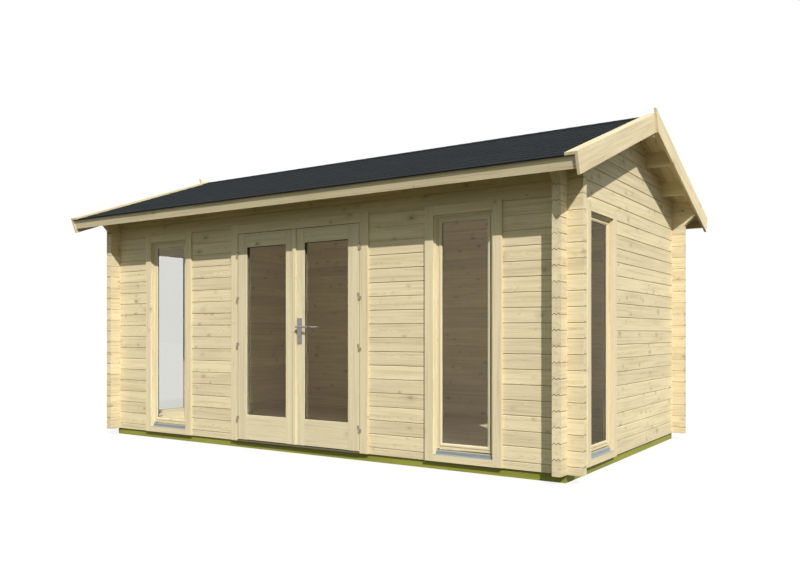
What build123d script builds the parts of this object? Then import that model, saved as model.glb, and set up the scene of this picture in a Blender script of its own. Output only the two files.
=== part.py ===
from build123d import *
from math import cos, radians, sin, tan
import os

# A garden log cabin with a low gable roof whose ridge runs left to right, glazed double doors in the
# middle of its front, and four tall fixed windows. Millimetres. X runs along the front to the right,
# Y from front to back, and Z up from the ground. The origin is the middle of the plan on the ground.

# ---- Driving dimensions ----------------------------------------------------------------------------
# Log walls
WALL_LENGTH = 5070.0  # over the outer faces of the two gable walls
WALL_DEPTH = 2890.0  # over the outer faces of the front and back walls
LOG_THICKNESS = 68.0
COURSE = 114.0  # height that one log adds to a wall
LOG_END = 118.0  # log left standing past the wall that it crosses
GROOVE_DEPTH = 5.0  # V groove where two logs meet, on both faces
GROOVE_HALF_HEIGHT = 5.0
CORBEL_RISE = 2084.0  # wall base to where the logs under the eaves start to step out, at 45 degrees

# Foundation and floor
BEAM_HEIGHT = 65.0
BEAM_WIDTH = 70.0
BEAM_INSET = 18.0  # the beams' outer faces lie this far behind the walls' outer faces
JOIST_WIDTH = 50.0
JOIST_COUNT = 7
FLOOR_THICKNESS = 24.0

# Roof
EAVES_RISE = 2300.0  # wall base to the roof boards, at the outer face of the front wall
ROOF_PITCH = 20.2
ROOF_BOARD = 19.0
ROOFING = 5.0
EAVE_REACH = 400.0  # along the slope, from the wall's outer face to the barge boards' lower ends
GABLE_REACH = 203.0  # roof boards past the gable walls' outer faces, on the front slope
TRIM_THICKNESS = 20.0  # barge boards, verge caps and fascias
BARGE_HEIGHT = 135.0
CAP_WIDTH = 92.0
FASCIA_HEIGHT = 90.0
FASCIA_SETBACK = 14.0  # the fascias' faces behind the barge boards' ends
ROOFING_DRIP = 25.0  # the roofing past the fascias' faces
PURLIN_WIDTH = 68.0
PURLIN_HEIGHT = 114.0
RIDGE_PURLIN_HEIGHT = 150.0
PURLIN_SPACING = 515.0

# Trim round the doors and windows
CASING_THICKNESS = 20.0
WINDOW_CASING_WIDTH = 78.0
DOOR_CASING_WIDTH = 83.0

# Windows, all four alike
WINDOW_WIDTH = 520.0  # clear width between the linings
WINDOW_TOP = 1934.0  # above the wall base, as the next two
WINDOW_SILL_BACK = 87.0
WINDOW_SILL_FRONT = 54.0
LINING_THICKNESS = 20.0
SASH_SETBACK = 30.0  # sash face behind the wall's outer face
SASH_REVEAL = 4.0  # back of the sash from the wall's inner face
SASH_STILE = 53.0
SASH_RAIL = 58.0
SILL_CREST = 5.0  # thickness of the drip sill at its top, against the sash
SILL_UPSTAND = 9.0  # and at the foot of its upstand
SILL_APRON = 6.0  # height of its sloping apron at the upstand
SILL_NOSE = 2.0  # and over the casing's face
PANE_THICKNESS = 8.0
PANE_BITE = 10.0  # glass held in the sash or leaf, all round
FRONT_WINDOW_PLACE = 845.0  # wall's outer corner to the middle of a front window
SIDE_WINDOW_PLACE = 695.0  # wall's front corner to the middle of a side window

# Doors
DOOR_FRAME_WIDTH = 1428.0  # clear width between the jambs
DOOR_HEAD = 1940.0  # underside of the frame's head, above the wall base
JAMB_THICKNESS = 40.0
STOP_GAP = 6.0  # clearance between the leaves and the stop behind them
STOP_WIDTH = 15.0
LEAF_THICKNESS = 44.0
LEAF_GAP = 8.0  # clearance at the jambs, the head and between the leaves
LEAF_TOE_GAP = 6.0  # clearance over the threshold
MEETING_OFFSET = 22.0  # the leaves meet this far left of the middle, beside the meeting strip
THRESHOLD_HEIGHT = 12.0
THRESHOLD_NOSE = 24.0  # the threshold stands out past the wall's outer face
HINGE_STILE = 118.0
LEFT_MEETING_STILE = 85.0
RIGHT_MEETING_STILE = 128.0
LEAF_TOP_RAIL = 127.0
LEAF_BOTTOM_RAIL = 233.0
STRIP_WIDTH = 38.0
STRIP_THICKNESS = 16.0

# Door furniture
HINGE_HEIGHTS = (205.0, 890.0, 1320.0, 1740.0)  # middles above the wall base
HINGE_RADIUS = 6.0
HINGE_LENGTH = 58.0
HINGE_KNUCKLE_GAP = 0.6
HINGE_STANDOFF = 7.0  # hinge axis in front of the leaf's face
HINGE_FLAG_WIDTH = 16.0
HINGE_FLAG_THICKNESS = 3.0
LOCK_PLATE_WIDTH = 46.0
LOCK_PLATE_HEIGHT = 225.0
LOCK_PLATE_THICKNESS = 8.0
LOCK_PLATE_PLACE = 74.0  # right leaf's meeting edge to the middle of the plate
LOCK_PLATE_RISE = 1029.0  # middle of the plate above the wall base
LEVER_RISE = 1063.0  # lever's axis above the wall base
LEVER_LENGTH = 122.0
LEVER_RADIUS = 9.0
LEVER_STANDOFF = 48.0  # lever's middle line from the leaf's face
LEVER_NECK_RADIUS = 9.0
SPINDLE_RADIUS = 5.0
SPINDLE_CLEARANCE = 1.0
LEVER_PLATE_GAP = 0.5
KEYHOLE_RISE = 980.0
KEYHOLE_RADIUS = 4.0
KEYHOLE_DROP = 14.0

# ---- Derived places --------------------------------------------------------------------------------
BASE = BEAM_HEIGHT  # underside of the lowest logs
RIGHT = WALL_LENGTH / 2
FRONT = -WALL_DEPTH / 2
INNER_RIGHT = RIGHT - LOG_THICKNESS
INNER_FRONT = FRONT + LOG_THICKNESS
SLOPE = tan(radians(ROOF_PITCH))
COS_PITCH = cos(radians(ROOF_PITCH))
SIN_PITCH = sin(radians(ROOF_PITCH))
RIDGE_UNDERSIDE = BASE + EAVES_RISE - FRONT * SLOPE

DOOR_HALF = DOOR_FRAME_WIDTH / 2
DOOR_OPENING_HALF = DOOR_HALF + JAMB_THICKNESS
DOOR_OPENING_TOP = BASE + DOOR_HEAD + JAMB_THICKNESS
LEAF_FACE = FRONT - CASING_THICKNESS
LEAF_BACK = LEAF_FACE + LEAF_THICKNESS
LEAF_BOTTOM = BASE + THRESHOLD_HEIGHT + LEAF_TOE_GAP
LEAF_TOP = BASE + DOOR_HEAD - LEAF_GAP
LEAF_EDGE = DOOR_HALF - LEAF_GAP  # the leaves' hinged edges, left and right of the middle
LEFT_MEETING_EDGE = -MEETING_OFFSET - LEAF_GAP / 2
RIGHT_MEETING_EDGE = -MEETING_OFFSET + LEAF_GAP / 2
HINGE_X = DOOR_HALF - LEAF_GAP / 2
HINGE_Y = LEAF_FACE - HINGE_STANDOFF
LEVER_X = RIGHT_MEETING_EDGE + LOCK_PLATE_PLACE
LEVER_Z = BASE + LEVER_RISE

WINDOW_OPENING_HALF = WINDOW_WIDTH / 2 + LINING_THICKNESS
WINDOW_OPENING_BOTTOM = BASE + WINDOW_SILL_FRONT - LINING_THICKNESS
WINDOW_OPENING_TOP = BASE + WINDOW_TOP + LINING_THICKNESS
FRONT_WINDOW_X = RIGHT - FRONT_WINDOW_PLACE
SIDE_WINDOW_Y = FRONT + SIDE_WINDOW_PLACE


def underside(y):
    """Height of the roof boards' underside at depth y."""
    return RIDGE_UNDERSIDE - abs(y) * SLOPE


def on_slope(along, above, side):
    """Point (y, z) of a roof slope, from its foot at the wall's outer face: so far up the slope and so
    far above the boards' underside, on the front slope (side -1) or the back one (side 1)."""
    y = FRONT + along * COS_PITCH - above * SIN_PITCH
    z = BASE + EAVES_RISE + along * SIN_PITCH + above * COS_PITCH
    return (-side * y, z)


def write(built, name):
    """Labels a finished piece and writes its STEP file."""
    built.part.label = name
    export_step(built.part, f"parts/{name}.step")


def section_plane(x):
    """Plane across the ridge at x, whose own x and y are the cabin's Y and Z."""
    return Plane(origin=(x, 0, 0), x_dir=(0, 1, 0), z_dir=(1, 0, 0))


def long_piece(outline, x_low, x_high, mode=Mode.ADD):
    """Prism along X between two x values, from its outline in (y, z). Called inside a part."""
    with BuildSketch(section_plane(x_low)) as section:
        with BuildLine():
            Polyline(*outline, close=True)
        make_face()
    extrude(section.sketch, amount=x_high - x_low, mode=mode)


def block(low, high, mode=Mode.ADD):
    """Box between two corners. Called inside a part."""
    middle = [(a + b) / 2 for a, b in zip(low, high)]
    size = [b - a for a, b in zip(low, high)]
    with Locations(tuple(middle)):
        Box(*size, mode=mode)


def log_outline(height, first_joint):
    """Section (across, up) of stacked logs, with a V groove on both faces at each joint."""
    joints = []
    joint = first_joint
    while joint < height - GROOVE_HALF_HEIGHT:
        joints.append(joint)
        joint += COURSE
    outer = [(0.0, 0.0)]
    for joint in joints:
        outer += [
            (0.0, joint - GROOVE_HALF_HEIGHT),
            (GROOVE_DEPTH, joint),
            (0.0, joint + GROOVE_HALF_HEIGHT),
        ]
    outer.append((0.0, height))
    inner = [(LOG_THICKNESS - across, up) for across, up in reversed(outer)]
    return outer + inner


def roof_space():
    """Takes away everything above the roof boards' underside. Called inside a part."""
    far = WALL_DEPTH
    top = RIDGE_UNDERSIDE + BARGE_HEIGHT
    reach = WALL_LENGTH
    outline = [(-far, underside(far)), (0, RIDGE_UNDERSIDE), (far, underside(far)), (far, top), (-far, top)]
    long_piece(outline, -reach, reach, mode=Mode.SUBTRACT)


def crossing_heights(first_middle, top):
    """Middles of the half-course blocks that one wall owns where two walls cross."""
    heights = []
    middle = first_middle
    while middle - COURSE / 4 < top:
        heights.append(BASE + middle)
        middle += COURSE
    return heights


CROSSING_TOP = EAVES_RISE + LOG_THICKNESS * SLOPE
LONG_WALL_BLOCKS = crossing_heights(0.0, CROSSING_TOP)
GABLE_WALL_BLOCKS = crossing_heights(COURSE / 2, CROSSING_TOP)


def notch_corners(heights, corners):
    """Takes the crossing wall's blocks out of a wall at the given corners. Called inside a part."""
    middles = [
        (x * (RIGHT - LOG_THICKNESS / 2), y * (-FRONT - LOG_THICKNESS / 2), z)
        for x, y in corners
        for z in heights
    ]
    with Locations(*middles):
        Box(LOG_THICKNESS, LOG_THICKNESS, COURSE / 2, mode=Mode.SUBTRACT)


def long_wall_stack(x_low, x_high, y_low):
    """Logs of the front or back wall, from a half log up to the roof. Called inside a part."""
    height = EAVES_RISE + LOG_THICKNESS * SLOPE
    plane = Plane(origin=(x_low, y_low, BASE), x_dir=(0, 1, 0), z_dir=(1, 0, 0))
    with BuildSketch(plane) as section:
        with BuildLine():
            Polyline(*log_outline(height, COURSE / 2), close=True)
        make_face()
    extrude(section.sketch, amount=x_high - x_low)
    roof_space()


def window_opening(x, y):
    """Cuts a window's opening through the wall that stands at (x, y). Called inside a part."""
    low_z, high_z = WINDOW_OPENING_BOTTOM, WINDOW_OPENING_TOP
    if x > RIGHT - LOG_THICKNESS or x < -RIGHT + LOG_THICKNESS:
        half = (LOG_THICKNESS, WINDOW_OPENING_HALF)
    else:
        half = (WINDOW_OPENING_HALF, LOG_THICKNESS)
    block((x - half[0], y - half[1], low_z), (x + half[0], y + half[1], high_z), mode=Mode.SUBTRACT)


os.makedirs("parts", exist_ok=True)

# ---- Foundation and floor --------------------------------------------------------------------------
BEAM_RIGHT = RIGHT - BEAM_INSET
BEAM_FRONT = FRONT + BEAM_INSET
BEAM_BACK_FACE = BEAM_FRONT + BEAM_WIDTH  # inner face of the front beam

with BuildPart() as long_beams:
    block((-BEAM_RIGHT, BEAM_FRONT, 0), (BEAM_RIGHT, BEAM_BACK_FACE, BASE))
    block((-BEAM_RIGHT, -BEAM_BACK_FACE, 0), (BEAM_RIGHT, -BEAM_FRONT, BASE))
write(long_beams, "foundation_long_beams")

with BuildPart() as end_beams:
    for side in (-1, 1):
        middle = side * (BEAM_RIGHT - BEAM_WIDTH / 2)
        block(
            (middle - BEAM_WIDTH / 2, BEAM_BACK_FACE, 0),
            (middle + BEAM_WIDTH / 2, -BEAM_BACK_FACE, BASE),
        )
write(end_beams, "foundation_end_beams")

with BuildPart() as joists:
    clear = 2 * (BEAM_RIGHT - BEAM_WIDTH)
    pitch = clear / (JOIST_COUNT + 1)
    for number in range(JOIST_COUNT):
        middle = (number + 1) * pitch - clear / 2
        block(
            (middle - JOIST_WIDTH / 2, BEAM_BACK_FACE, 0),
            (middle + JOIST_WIDTH / 2, -BEAM_BACK_FACE, BASE),
        )
write(joists, "floor_joists")

with BuildPart() as floor_boards:
    block((-INNER_RIGHT, INNER_FRONT, BASE), (INNER_RIGHT, -INNER_FRONT, BASE + FLOOR_THICKNESS))
write(floor_boards, "floor_boards")

# ---- Purlins ---------------------------------------------------------------------------------------
FRONT_ROOF_END = RIGHT + GABLE_REACH
BACK_ROOF_END = FRONT_ROOF_END + TRIM_THICKNESS  # the back trim laps outside the front trim


def purlin_outline(y):
    """Section (y, z) of a purlin whose top follows the roof boards."""
    low, high = y - PURLIN_WIDTH / 2, y + PURLIN_WIDTH / 2
    bottom = underside(y) - PURLIN_HEIGHT
    return [(low, bottom), (high, bottom), (high, underside(high)), (low, underside(low))]


RIDGE_BOTTOM = RIDGE_UNDERSIDE - RIDGE_PURLIN_HEIGHT
RIDGE_OUTLINE = [
    (-PURLIN_WIDTH / 2, RIDGE_BOTTOM),
    (PURLIN_WIDTH / 2, RIDGE_BOTTOM),
    (PURLIN_WIDTH / 2, underside(PURLIN_WIDTH / 2)),
    (0, RIDGE_UNDERSIDE),
    (-PURLIN_WIDTH / 2, underside(PURLIN_WIDTH / 2)),
]
FRONT_PURLINS = [purlin_outline(-step * PURLIN_SPACING) for step in (1, 2)]
BACK_PURLINS = [purlin_outline(step * PURLIN_SPACING) for step in (1, 2)]

with BuildPart() as ridge_purlin:
    long_piece(RIDGE_OUTLINE, -FRONT_ROOF_END, FRONT_ROOF_END)
write(ridge_purlin, "ridge_purlin")

with BuildPart() as front_purlins:
    for outline in FRONT_PURLINS:
        long_piece(outline, -FRONT_ROOF_END, FRONT_ROOF_END)
write(front_purlins, "front_purlins")

with BuildPart() as back_purlins:
    for outline in BACK_PURLINS:
        long_piece(outline, -BACK_ROOF_END, BACK_ROOF_END)
write(back_purlins, "back_purlins")

# ---- Log walls -------------------------------------------------------------------------------------
LOG_RUN = RIGHT + LOG_END  # half the length of the front and back logs

for name, side in (("front_wall_left", -1), ("front_wall_right", 1)):
    with BuildPart() as front_side:
        ends = sorted((side * DOOR_OPENING_HALF, side * LOG_RUN))
        long_wall_stack(ends[0], ends[1], FRONT)
        window_opening(side * FRONT_WINDOW_X, FRONT + LOG_THICKNESS / 2)
        notch_corners(GABLE_WALL_BLOCKS, [(side, -1)])
    write(front_side, name)

with BuildPart() as over_door:
    long_wall_stack(-DOOR_OPENING_HALF, DOOR_OPENING_HALF, FRONT)
    block(
        (-DOOR_OPENING_HALF, FRONT, 0),
        (DOOR_OPENING_HALF, INNER_FRONT, DOOR_OPENING_TOP),
        mode=Mode.SUBTRACT,
    )
write(over_door, "front_wall_over_door")

with BuildPart() as back_wall:
    long_wall_stack(-LOG_RUN, LOG_RUN, -INNER_FRONT)
    notch_corners(GABLE_WALL_BLOCKS, [(-1, 1), (1, 1)])
write(back_wall, "back_wall")

GABLE_RUN = -FRONT + LOG_END  # half the length of the gable logs
CORBEL_FOOT = BASE + CORBEL_RISE
CORBEL_TIP = GABLE_RUN + (underside(GABLE_RUN) - CORBEL_FOOT) / (1 + SLOPE)  # meets the roof boards here

for name, side in (("left_wall", -1), ("right_wall", 1)):
    with BuildPart() as gable_wall:
        wall_low = min(side * RIGHT, side * INNER_RIGHT)
        stack_plane = Plane(origin=(wall_low, GABLE_RUN, BASE), x_dir=(1, 0, 0), z_dir=(0, -1, 0))
        with BuildSketch(stack_plane):
            with BuildLine():
                Polyline(*log_outline(RIDGE_UNDERSIDE - BASE, COURSE), close=True)
            make_face()
        extrude(amount=2 * GABLE_RUN)
        for end in (-1, 1):
            corbel = [
                (end * GABLE_RUN, CORBEL_FOOT),
                (end * CORBEL_TIP, underside(CORBEL_TIP)),
                (end * GABLE_RUN, underside(GABLE_RUN)),
            ]
            long_piece(corbel, wall_low, wall_low + LOG_THICKNESS)
        roof_space()
        for outline in [RIDGE_OUTLINE, *FRONT_PURLINS, *BACK_PURLINS]:
            long_piece(outline, wall_low, wall_low + LOG_THICKNESS, mode=Mode.SUBTRACT)
        window_opening(side * (RIGHT - LOG_THICKNESS / 2), SIDE_WINDOW_Y)
        notch_corners(LONG_WALL_BLOCKS, [(side, -1), (side, 1)])
    write(gable_wall, name)

# ---- Roof ------------------------------------------------------------------------------------------
BOARD_FOOT = -(EAVE_REACH - FASCIA_SETBACK - TRIM_THICKNESS)
FASCIA_FACE = -(EAVE_REACH - FASCIA_SETBACK)
ROOFING_FOOT = FASCIA_FACE - ROOFING_DRIP
ROOF_TOP = ROOF_BOARD + ROOFING  # top of the roofing above the boards' underside
BARGE_BOTTOM = ROOF_TOP - BARGE_HEIGHT
CAP_TOP = ROOF_TOP + TRIM_THICKNESS


def over_ridge(above):
    """Point (y, z) over the ridge, so far above the boards' underside."""
    return (0, RIDGE_UNDERSIDE + above / COS_PITCH)


for name, side, end in (("front", -1, FRONT_ROOF_END), ("back", 1, BACK_ROOF_END)):
    with BuildPart() as boards:
        outline = [
            on_slope(BOARD_FOOT, 0, side),
            over_ridge(0),
            over_ridge(ROOF_BOARD),
            on_slope(BOARD_FOOT, ROOF_BOARD, side),
        ]
        long_piece(outline, -end, end)
    write(boards, f"{name}_roof_boards")

    with BuildPart() as roofing:
        outline = [
            on_slope(ROOFING_FOOT, ROOF_BOARD, side),
            over_ridge(ROOF_BOARD),
            over_ridge(ROOF_TOP),
            on_slope(ROOFING_FOOT, ROOF_TOP, side),
        ]
        long_piece(outline, -end, end)
    write(roofing, f"{name}_roofing")

    with BuildPart() as fascia:
        outline = [
            on_slope(FASCIA_FACE, ROOF_BOARD - FASCIA_HEIGHT, side),
            on_slope(BOARD_FOOT, ROOF_BOARD - FASCIA_HEIGHT, side),
            on_slope(BOARD_FOOT, ROOF_BOARD, side),
            on_slope(FASCIA_FACE, ROOF_BOARD, side),
        ]
        long_piece(outline, -end, end)
    write(fascia, f"{name}_fascia")

# At the ridge the front barge boards are cut plumb, and the back ones lap over them and are cut square
# to the front slope, on a plane through their lower edges over the middle of the cabin.
RIDGE_CUT = (-FRONT + BARGE_BOTTOM * SIN_PITCH) / COS_PITCH
RIDGE_CUT_FOOT = on_slope(RIDGE_CUT, BARGE_BOTTOM, -1)


def on_ridge_cut(above):
    """Point (y, z) where the back trim's line at a height above its boards' underside meets the cut."""
    rise = (above - BARGE_BOTTOM) / cos(radians(2 * ROOF_PITCH))
    return (RIDGE_CUT_FOOT[0] - rise * SIN_PITCH, RIDGE_CUT_FOOT[1] + rise * COS_PITCH)


def verge_outline(low, high, slope_side, ridge_point):
    """Section (y, z) of a trim board along a gable, between two heights above the boards' underside."""
    ridge_low, ridge_high = ridge_point(low), ridge_point(high)
    foot_low = on_slope(-EAVE_REACH, low, slope_side)
    foot_high = on_slope(-EAVE_REACH, high, slope_side)
    return [foot_low, ridge_low, ridge_high, foot_high]


for name, side, end, ridge_point in (
    ("front", -1, FRONT_ROOF_END, over_ridge),
    ("back", 1, BACK_ROOF_END, on_ridge_cut),
):
    outer = end + TRIM_THICKNESS
    with BuildPart() as barge_boards:
        outline = verge_outline(BARGE_BOTTOM, CAP_TOP, side, ridge_point)
        long_piece(outline, end, outer)
        long_piece(outline, -outer, -end)
    write(barge_boards, f"{name}_barge_boards")

    with BuildPart() as verge_caps:
        outline = verge_outline(ROOF_TOP, CAP_TOP, side, over_ridge)
        long_piece(outline, outer - CAP_WIDTH, end)
        long_piece(outline, -end, CAP_WIDTH - outer)
    write(verge_caps, f"{name}_verge_caps")

# ---- Windows ---------------------------------------------------------------------------------------
# Each window is drawn for the front wall's plane and turned for the side walls: across is measured
# along the wall from the window's middle, and depth from the wall's outer face into the room.
WINDOW_PLACES = {
    "front": [
        Plane(origin=(-FRONT_WINDOW_X, FRONT, 0), x_dir=(1, 0, 0), z_dir=(0, 0, 1)),
        Plane(origin=(FRONT_WINDOW_X, FRONT, 0), x_dir=(1, 0, 0), z_dir=(0, 0, 1)),
    ],
    "side": [
        Plane(origin=(-RIGHT, SIDE_WINDOW_Y, 0), x_dir=(0, -1, 0), z_dir=(0, 0, 1)),
        Plane(origin=(RIGHT, SIDE_WINDOW_Y, 0), x_dir=(0, 1, 0), z_dir=(0, 0, 1)),
    ],
}


def wall_block(place, across, depth, height, mode=Mode.ADD):
    """Box beside a wall, from its ranges across, into and up the wall. Called inside a part."""
    middle = [(low + high) / 2 for low, high in (across, depth, height)]
    size = [high - low for low, high in (across, depth, height)]
    with Locations(place):
        with Locations(tuple(middle)):
            Box(*size, mode=mode)


WINDOW_HALF = WINDOW_WIDTH / 2
WINDOW_SILL_LOW = BASE + WINDOW_SILL_FRONT
SASH_BOTTOM = BASE + WINDOW_SILL_BACK
SASH_TOP = BASE + WINDOW_TOP
SASH_BACK = LOG_THICKNESS - SASH_REVEAL
PANE_FRONT = (SASH_SETBACK + SASH_BACK - PANE_THICKNESS) / 2
PANE_HALF = WINDOW_HALF - SASH_STILE
PANE_BOTTOM = SASH_BOTTOM + SASH_RAIL
PANE_TOP = SASH_TOP - SASH_RAIL


def window_casing(place):
    """Four boards on the wall's outer face, joined as one frame. Called inside a part."""
    outer = WINDOW_HALF + WINDOW_CASING_WIDTH
    depth = (-CASING_THICKNESS, 0)
    wall_block(place, (-outer, outer), depth, (BASE, SASH_TOP + WINDOW_CASING_WIDTH))
    wall_block(place, (-WINDOW_HALF, WINDOW_HALF), depth, (WINDOW_SILL_LOW, SASH_TOP), Mode.SUBTRACT)


def window_frame(place):
    """Lining of the opening, with the sash fixed in it. Called inside a part."""
    outer = (-WINDOW_OPENING_HALF, WINDOW_OPENING_HALF)
    clear = (-WINDOW_HALF, WINDOW_HALF)
    pane = (-PANE_HALF, PANE_HALF)
    bite = (-PANE_HALF - PANE_BITE, PANE_HALF + PANE_BITE)
    wall_block(place, outer, (0, LOG_THICKNESS), (WINDOW_OPENING_BOTTOM, WINDOW_OPENING_TOP))
    wall_block(place, clear, (0, SASH_SETBACK), (WINDOW_SILL_LOW, SASH_TOP), Mode.SUBTRACT)
    wall_block(place, clear, (SASH_BACK, LOG_THICKNESS), (SASH_BOTTOM, SASH_TOP), Mode.SUBTRACT)
    wall_block(place, pane, (SASH_SETBACK, SASH_BACK), (PANE_BOTTOM, PANE_TOP), Mode.SUBTRACT)
    wall_block(
        place,
        bite,
        (PANE_FRONT, PANE_FRONT + PANE_THICKNESS),
        (PANE_BOTTOM - PANE_BITE, PANE_TOP + PANE_BITE),
        Mode.SUBTRACT,
    )


def window_pane(place):
    """Double glazing, held in the sash all round. Called inside a part."""
    wall_block(
        place,
        (-PANE_HALF - PANE_BITE, PANE_HALF + PANE_BITE),
        (PANE_FRONT, PANE_FRONT + PANE_THICKNESS),
        (PANE_BOTTOM - PANE_BITE, PANE_TOP + PANE_BITE),
    )


def window_sill(place):
    """Drip sill with an upstand against the sash and an apron over the casing. Called inside a part."""
    across = Plane(
        origin=place.from_local_coords(Vector(-WINDOW_HALF, 0, 0)),
        x_dir=place.y_dir,
        z_dir=place.x_dir,
    )
    with BuildSketch(across) as section:
        with BuildLine():
            Polyline(
                (-CASING_THICKNESS, WINDOW_SILL_LOW),
                (SASH_SETBACK, WINDOW_SILL_LOW),
                (SASH_SETBACK, SASH_BOTTOM),
                (SASH_SETBACK - SILL_CREST, SASH_BOTTOM),
                (SASH_SETBACK - SILL_UPSTAND, WINDOW_SILL_LOW + SILL_APRON),
                (-CASING_THICKNESS, WINDOW_SILL_LOW + SILL_NOSE),
                close=True,
            )
        make_face()
    extrude(section.sketch, amount=WINDOW_WIDTH)


WINDOW_PIECES = (
    ("window_casings", window_casing),
    ("window_frames", window_frame),
    ("window_glass", window_pane),
    ("window_sills", window_sill),
)
for group, places in WINDOW_PLACES.items():
    for piece, make in WINDOW_PIECES:
        with BuildPart() as window_parts:
            for place in places:
                make(place)
        write(window_parts, f"{group}_{piece}")

# ---- Door frame ------------------------------------------------------------------------------------
HEAD = BASE + DOOR_HEAD
DOOR_CASING_OUTER = DOOR_HALF + DOOR_CASING_WIDTH

with BuildPart() as door_casing:
    block((-DOOR_CASING_OUTER, LEAF_FACE, BASE), (DOOR_CASING_OUTER, FRONT, HEAD + DOOR_CASING_WIDTH))
    block((-DOOR_HALF, LEAF_FACE, BASE), (DOOR_HALF, FRONT, HEAD), mode=Mode.SUBTRACT)
write(door_casing, "door_casing")

with BuildPart() as door_frame:
    stop_front = LEAF_BACK + STOP_GAP
    stop_half = DOOR_HALF - STOP_WIDTH
    block((-DOOR_OPENING_HALF, FRONT, BASE), (DOOR_OPENING_HALF, INNER_FRONT, DOOR_OPENING_TOP))
    block((-DOOR_HALF, FRONT, BASE), (DOOR_HALF, stop_front, HEAD), mode=Mode.SUBTRACT)
    block((-stop_half, stop_front, BASE), (stop_half, INNER_FRONT, HEAD - STOP_WIDTH), mode=Mode.SUBTRACT)
    block(
        (-DOOR_HALF, stop_front, BASE),
        (DOOR_HALF, INNER_FRONT, BASE + THRESHOLD_HEIGHT),
        mode=Mode.SUBTRACT,
    )
write(door_frame, "door_frame")

with BuildPart() as threshold:
    block(
        (-DOOR_HALF, FRONT - THRESHOLD_NOSE, BASE),
        (DOOR_HALF, INNER_FRONT, BASE + THRESHOLD_HEIGHT),
    )
write(threshold, "door_threshold")

# ---- Door leaves -----------------------------------------------------------------------------------
GLASS_BOTTOM = LEAF_BOTTOM + LEAF_BOTTOM_RAIL
GLASS_TOP = LEAF_TOP - LEAF_TOP_RAIL
GLASS_FRONT = LEAF_FACE + (LEAF_THICKNESS - PANE_THICKNESS) / 2
GLASS_BACK = GLASS_FRONT + PANE_THICKNESS
LEFT_GLASS = (-LEAF_EDGE + HINGE_STILE, LEFT_MEETING_EDGE - LEFT_MEETING_STILE)
RIGHT_GLASS = (RIGHT_MEETING_EDGE + RIGHT_MEETING_STILE, LEAF_EDGE - HINGE_STILE)


def glass_block(across, mode=Mode.ADD):
    """The glass of a leaf, with the edge that the leaf holds. Called inside a part."""
    block(
        (across[0] - PANE_BITE, GLASS_FRONT, GLASS_BOTTOM - PANE_BITE),
        (across[1] + PANE_BITE, GLASS_BACK, GLASS_TOP + PANE_BITE),
        mode=mode,
    )


def leaf_block(x_low, x_high, across):
    """A leaf's stiles and rails round its glass. Called inside a part."""
    block((x_low, LEAF_FACE, LEAF_BOTTOM), (x_high, LEAF_BACK, LEAF_TOP))
    block((across[0], LEAF_FACE, GLASS_BOTTOM), (across[1], LEAF_BACK, GLASS_TOP), mode=Mode.SUBTRACT)
    glass_block(across, mode=Mode.SUBTRACT)


with BuildPart() as left_leaf:
    leaf_block(-LEAF_EDGE, LEFT_MEETING_EDGE, LEFT_GLASS)
write(left_leaf, "left_door_leaf")

with BuildPart() as left_glass:
    glass_block(LEFT_GLASS)
write(left_glass, "left_door_glass")

PLANE_ACROSS_DOOR = Plane(origin=(LEVER_X, LEAF_FACE, LEVER_Z), x_dir=(1, 0, 0), z_dir=(0, 1, 0))

with BuildPart() as right_leaf:
    leaf_block(RIGHT_MEETING_EDGE, LEAF_EDGE, RIGHT_GLASS)
    with BuildSketch(PLANE_ACROSS_DOOR):
        Circle(SPINDLE_RADIUS + SPINDLE_CLEARANCE)
    extrude(amount=LEAF_THICKNESS, mode=Mode.SUBTRACT)
write(right_leaf, "right_door_leaf")

with BuildPart() as right_glass:
    glass_block(RIGHT_GLASS)
write(right_glass, "right_door_glass")

with BuildPart() as meeting_strip:
    block(
        (RIGHT_MEETING_EDGE, LEAF_FACE - STRIP_THICKNESS, LEAF_BOTTOM),
        (RIGHT_MEETING_EDGE + STRIP_WIDTH, LEAF_FACE, LEAF_TOP),
    )
write(meeting_strip, "meeting_strip")

# ---- Door furniture --------------------------------------------------------------------------------


def hinge_half(side, z_low, z_high, toward_leaf):
    """One knuckle and its flag, on the leaf or on the casing. Called inside a part."""
    axis_x = side * HINGE_X
    reach = -side if toward_leaf else side
    with BuildSketch(Plane.XY.offset(z_low)) as knuckle:
        with Locations((axis_x, HINGE_Y)):
            Circle(HINGE_RADIUS)
    extrude(knuckle.sketch, amount=z_high - z_low)
    ends = sorted((axis_x, axis_x + reach * (LEAF_GAP / 2 + HINGE_FLAG_WIDTH)))
    block((ends[0], LEAF_FACE - HINGE_FLAG_THICKNESS, z_low), (ends[1], LEAF_FACE, z_high))


for name, side in (("left", -1), ("right", 1)):
    with BuildPart() as leaf_hinges:
        for height in HINGE_HEIGHTS:
            middle = BASE + height
            hinge_half(side, middle + HINGE_KNUCKLE_GAP / 2, middle + HINGE_LENGTH / 2, True)
    write(leaf_hinges, f"{name}_leaf_hinges")

with BuildPart() as frame_hinges:
    for side in (-1, 1):
        for height in HINGE_HEIGHTS:
            middle = BASE + height
            hinge_half(side, middle - HINGE_LENGTH / 2, middle - HINGE_KNUCKLE_GAP / 2, False)
write(frame_hinges, "frame_hinges")

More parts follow.
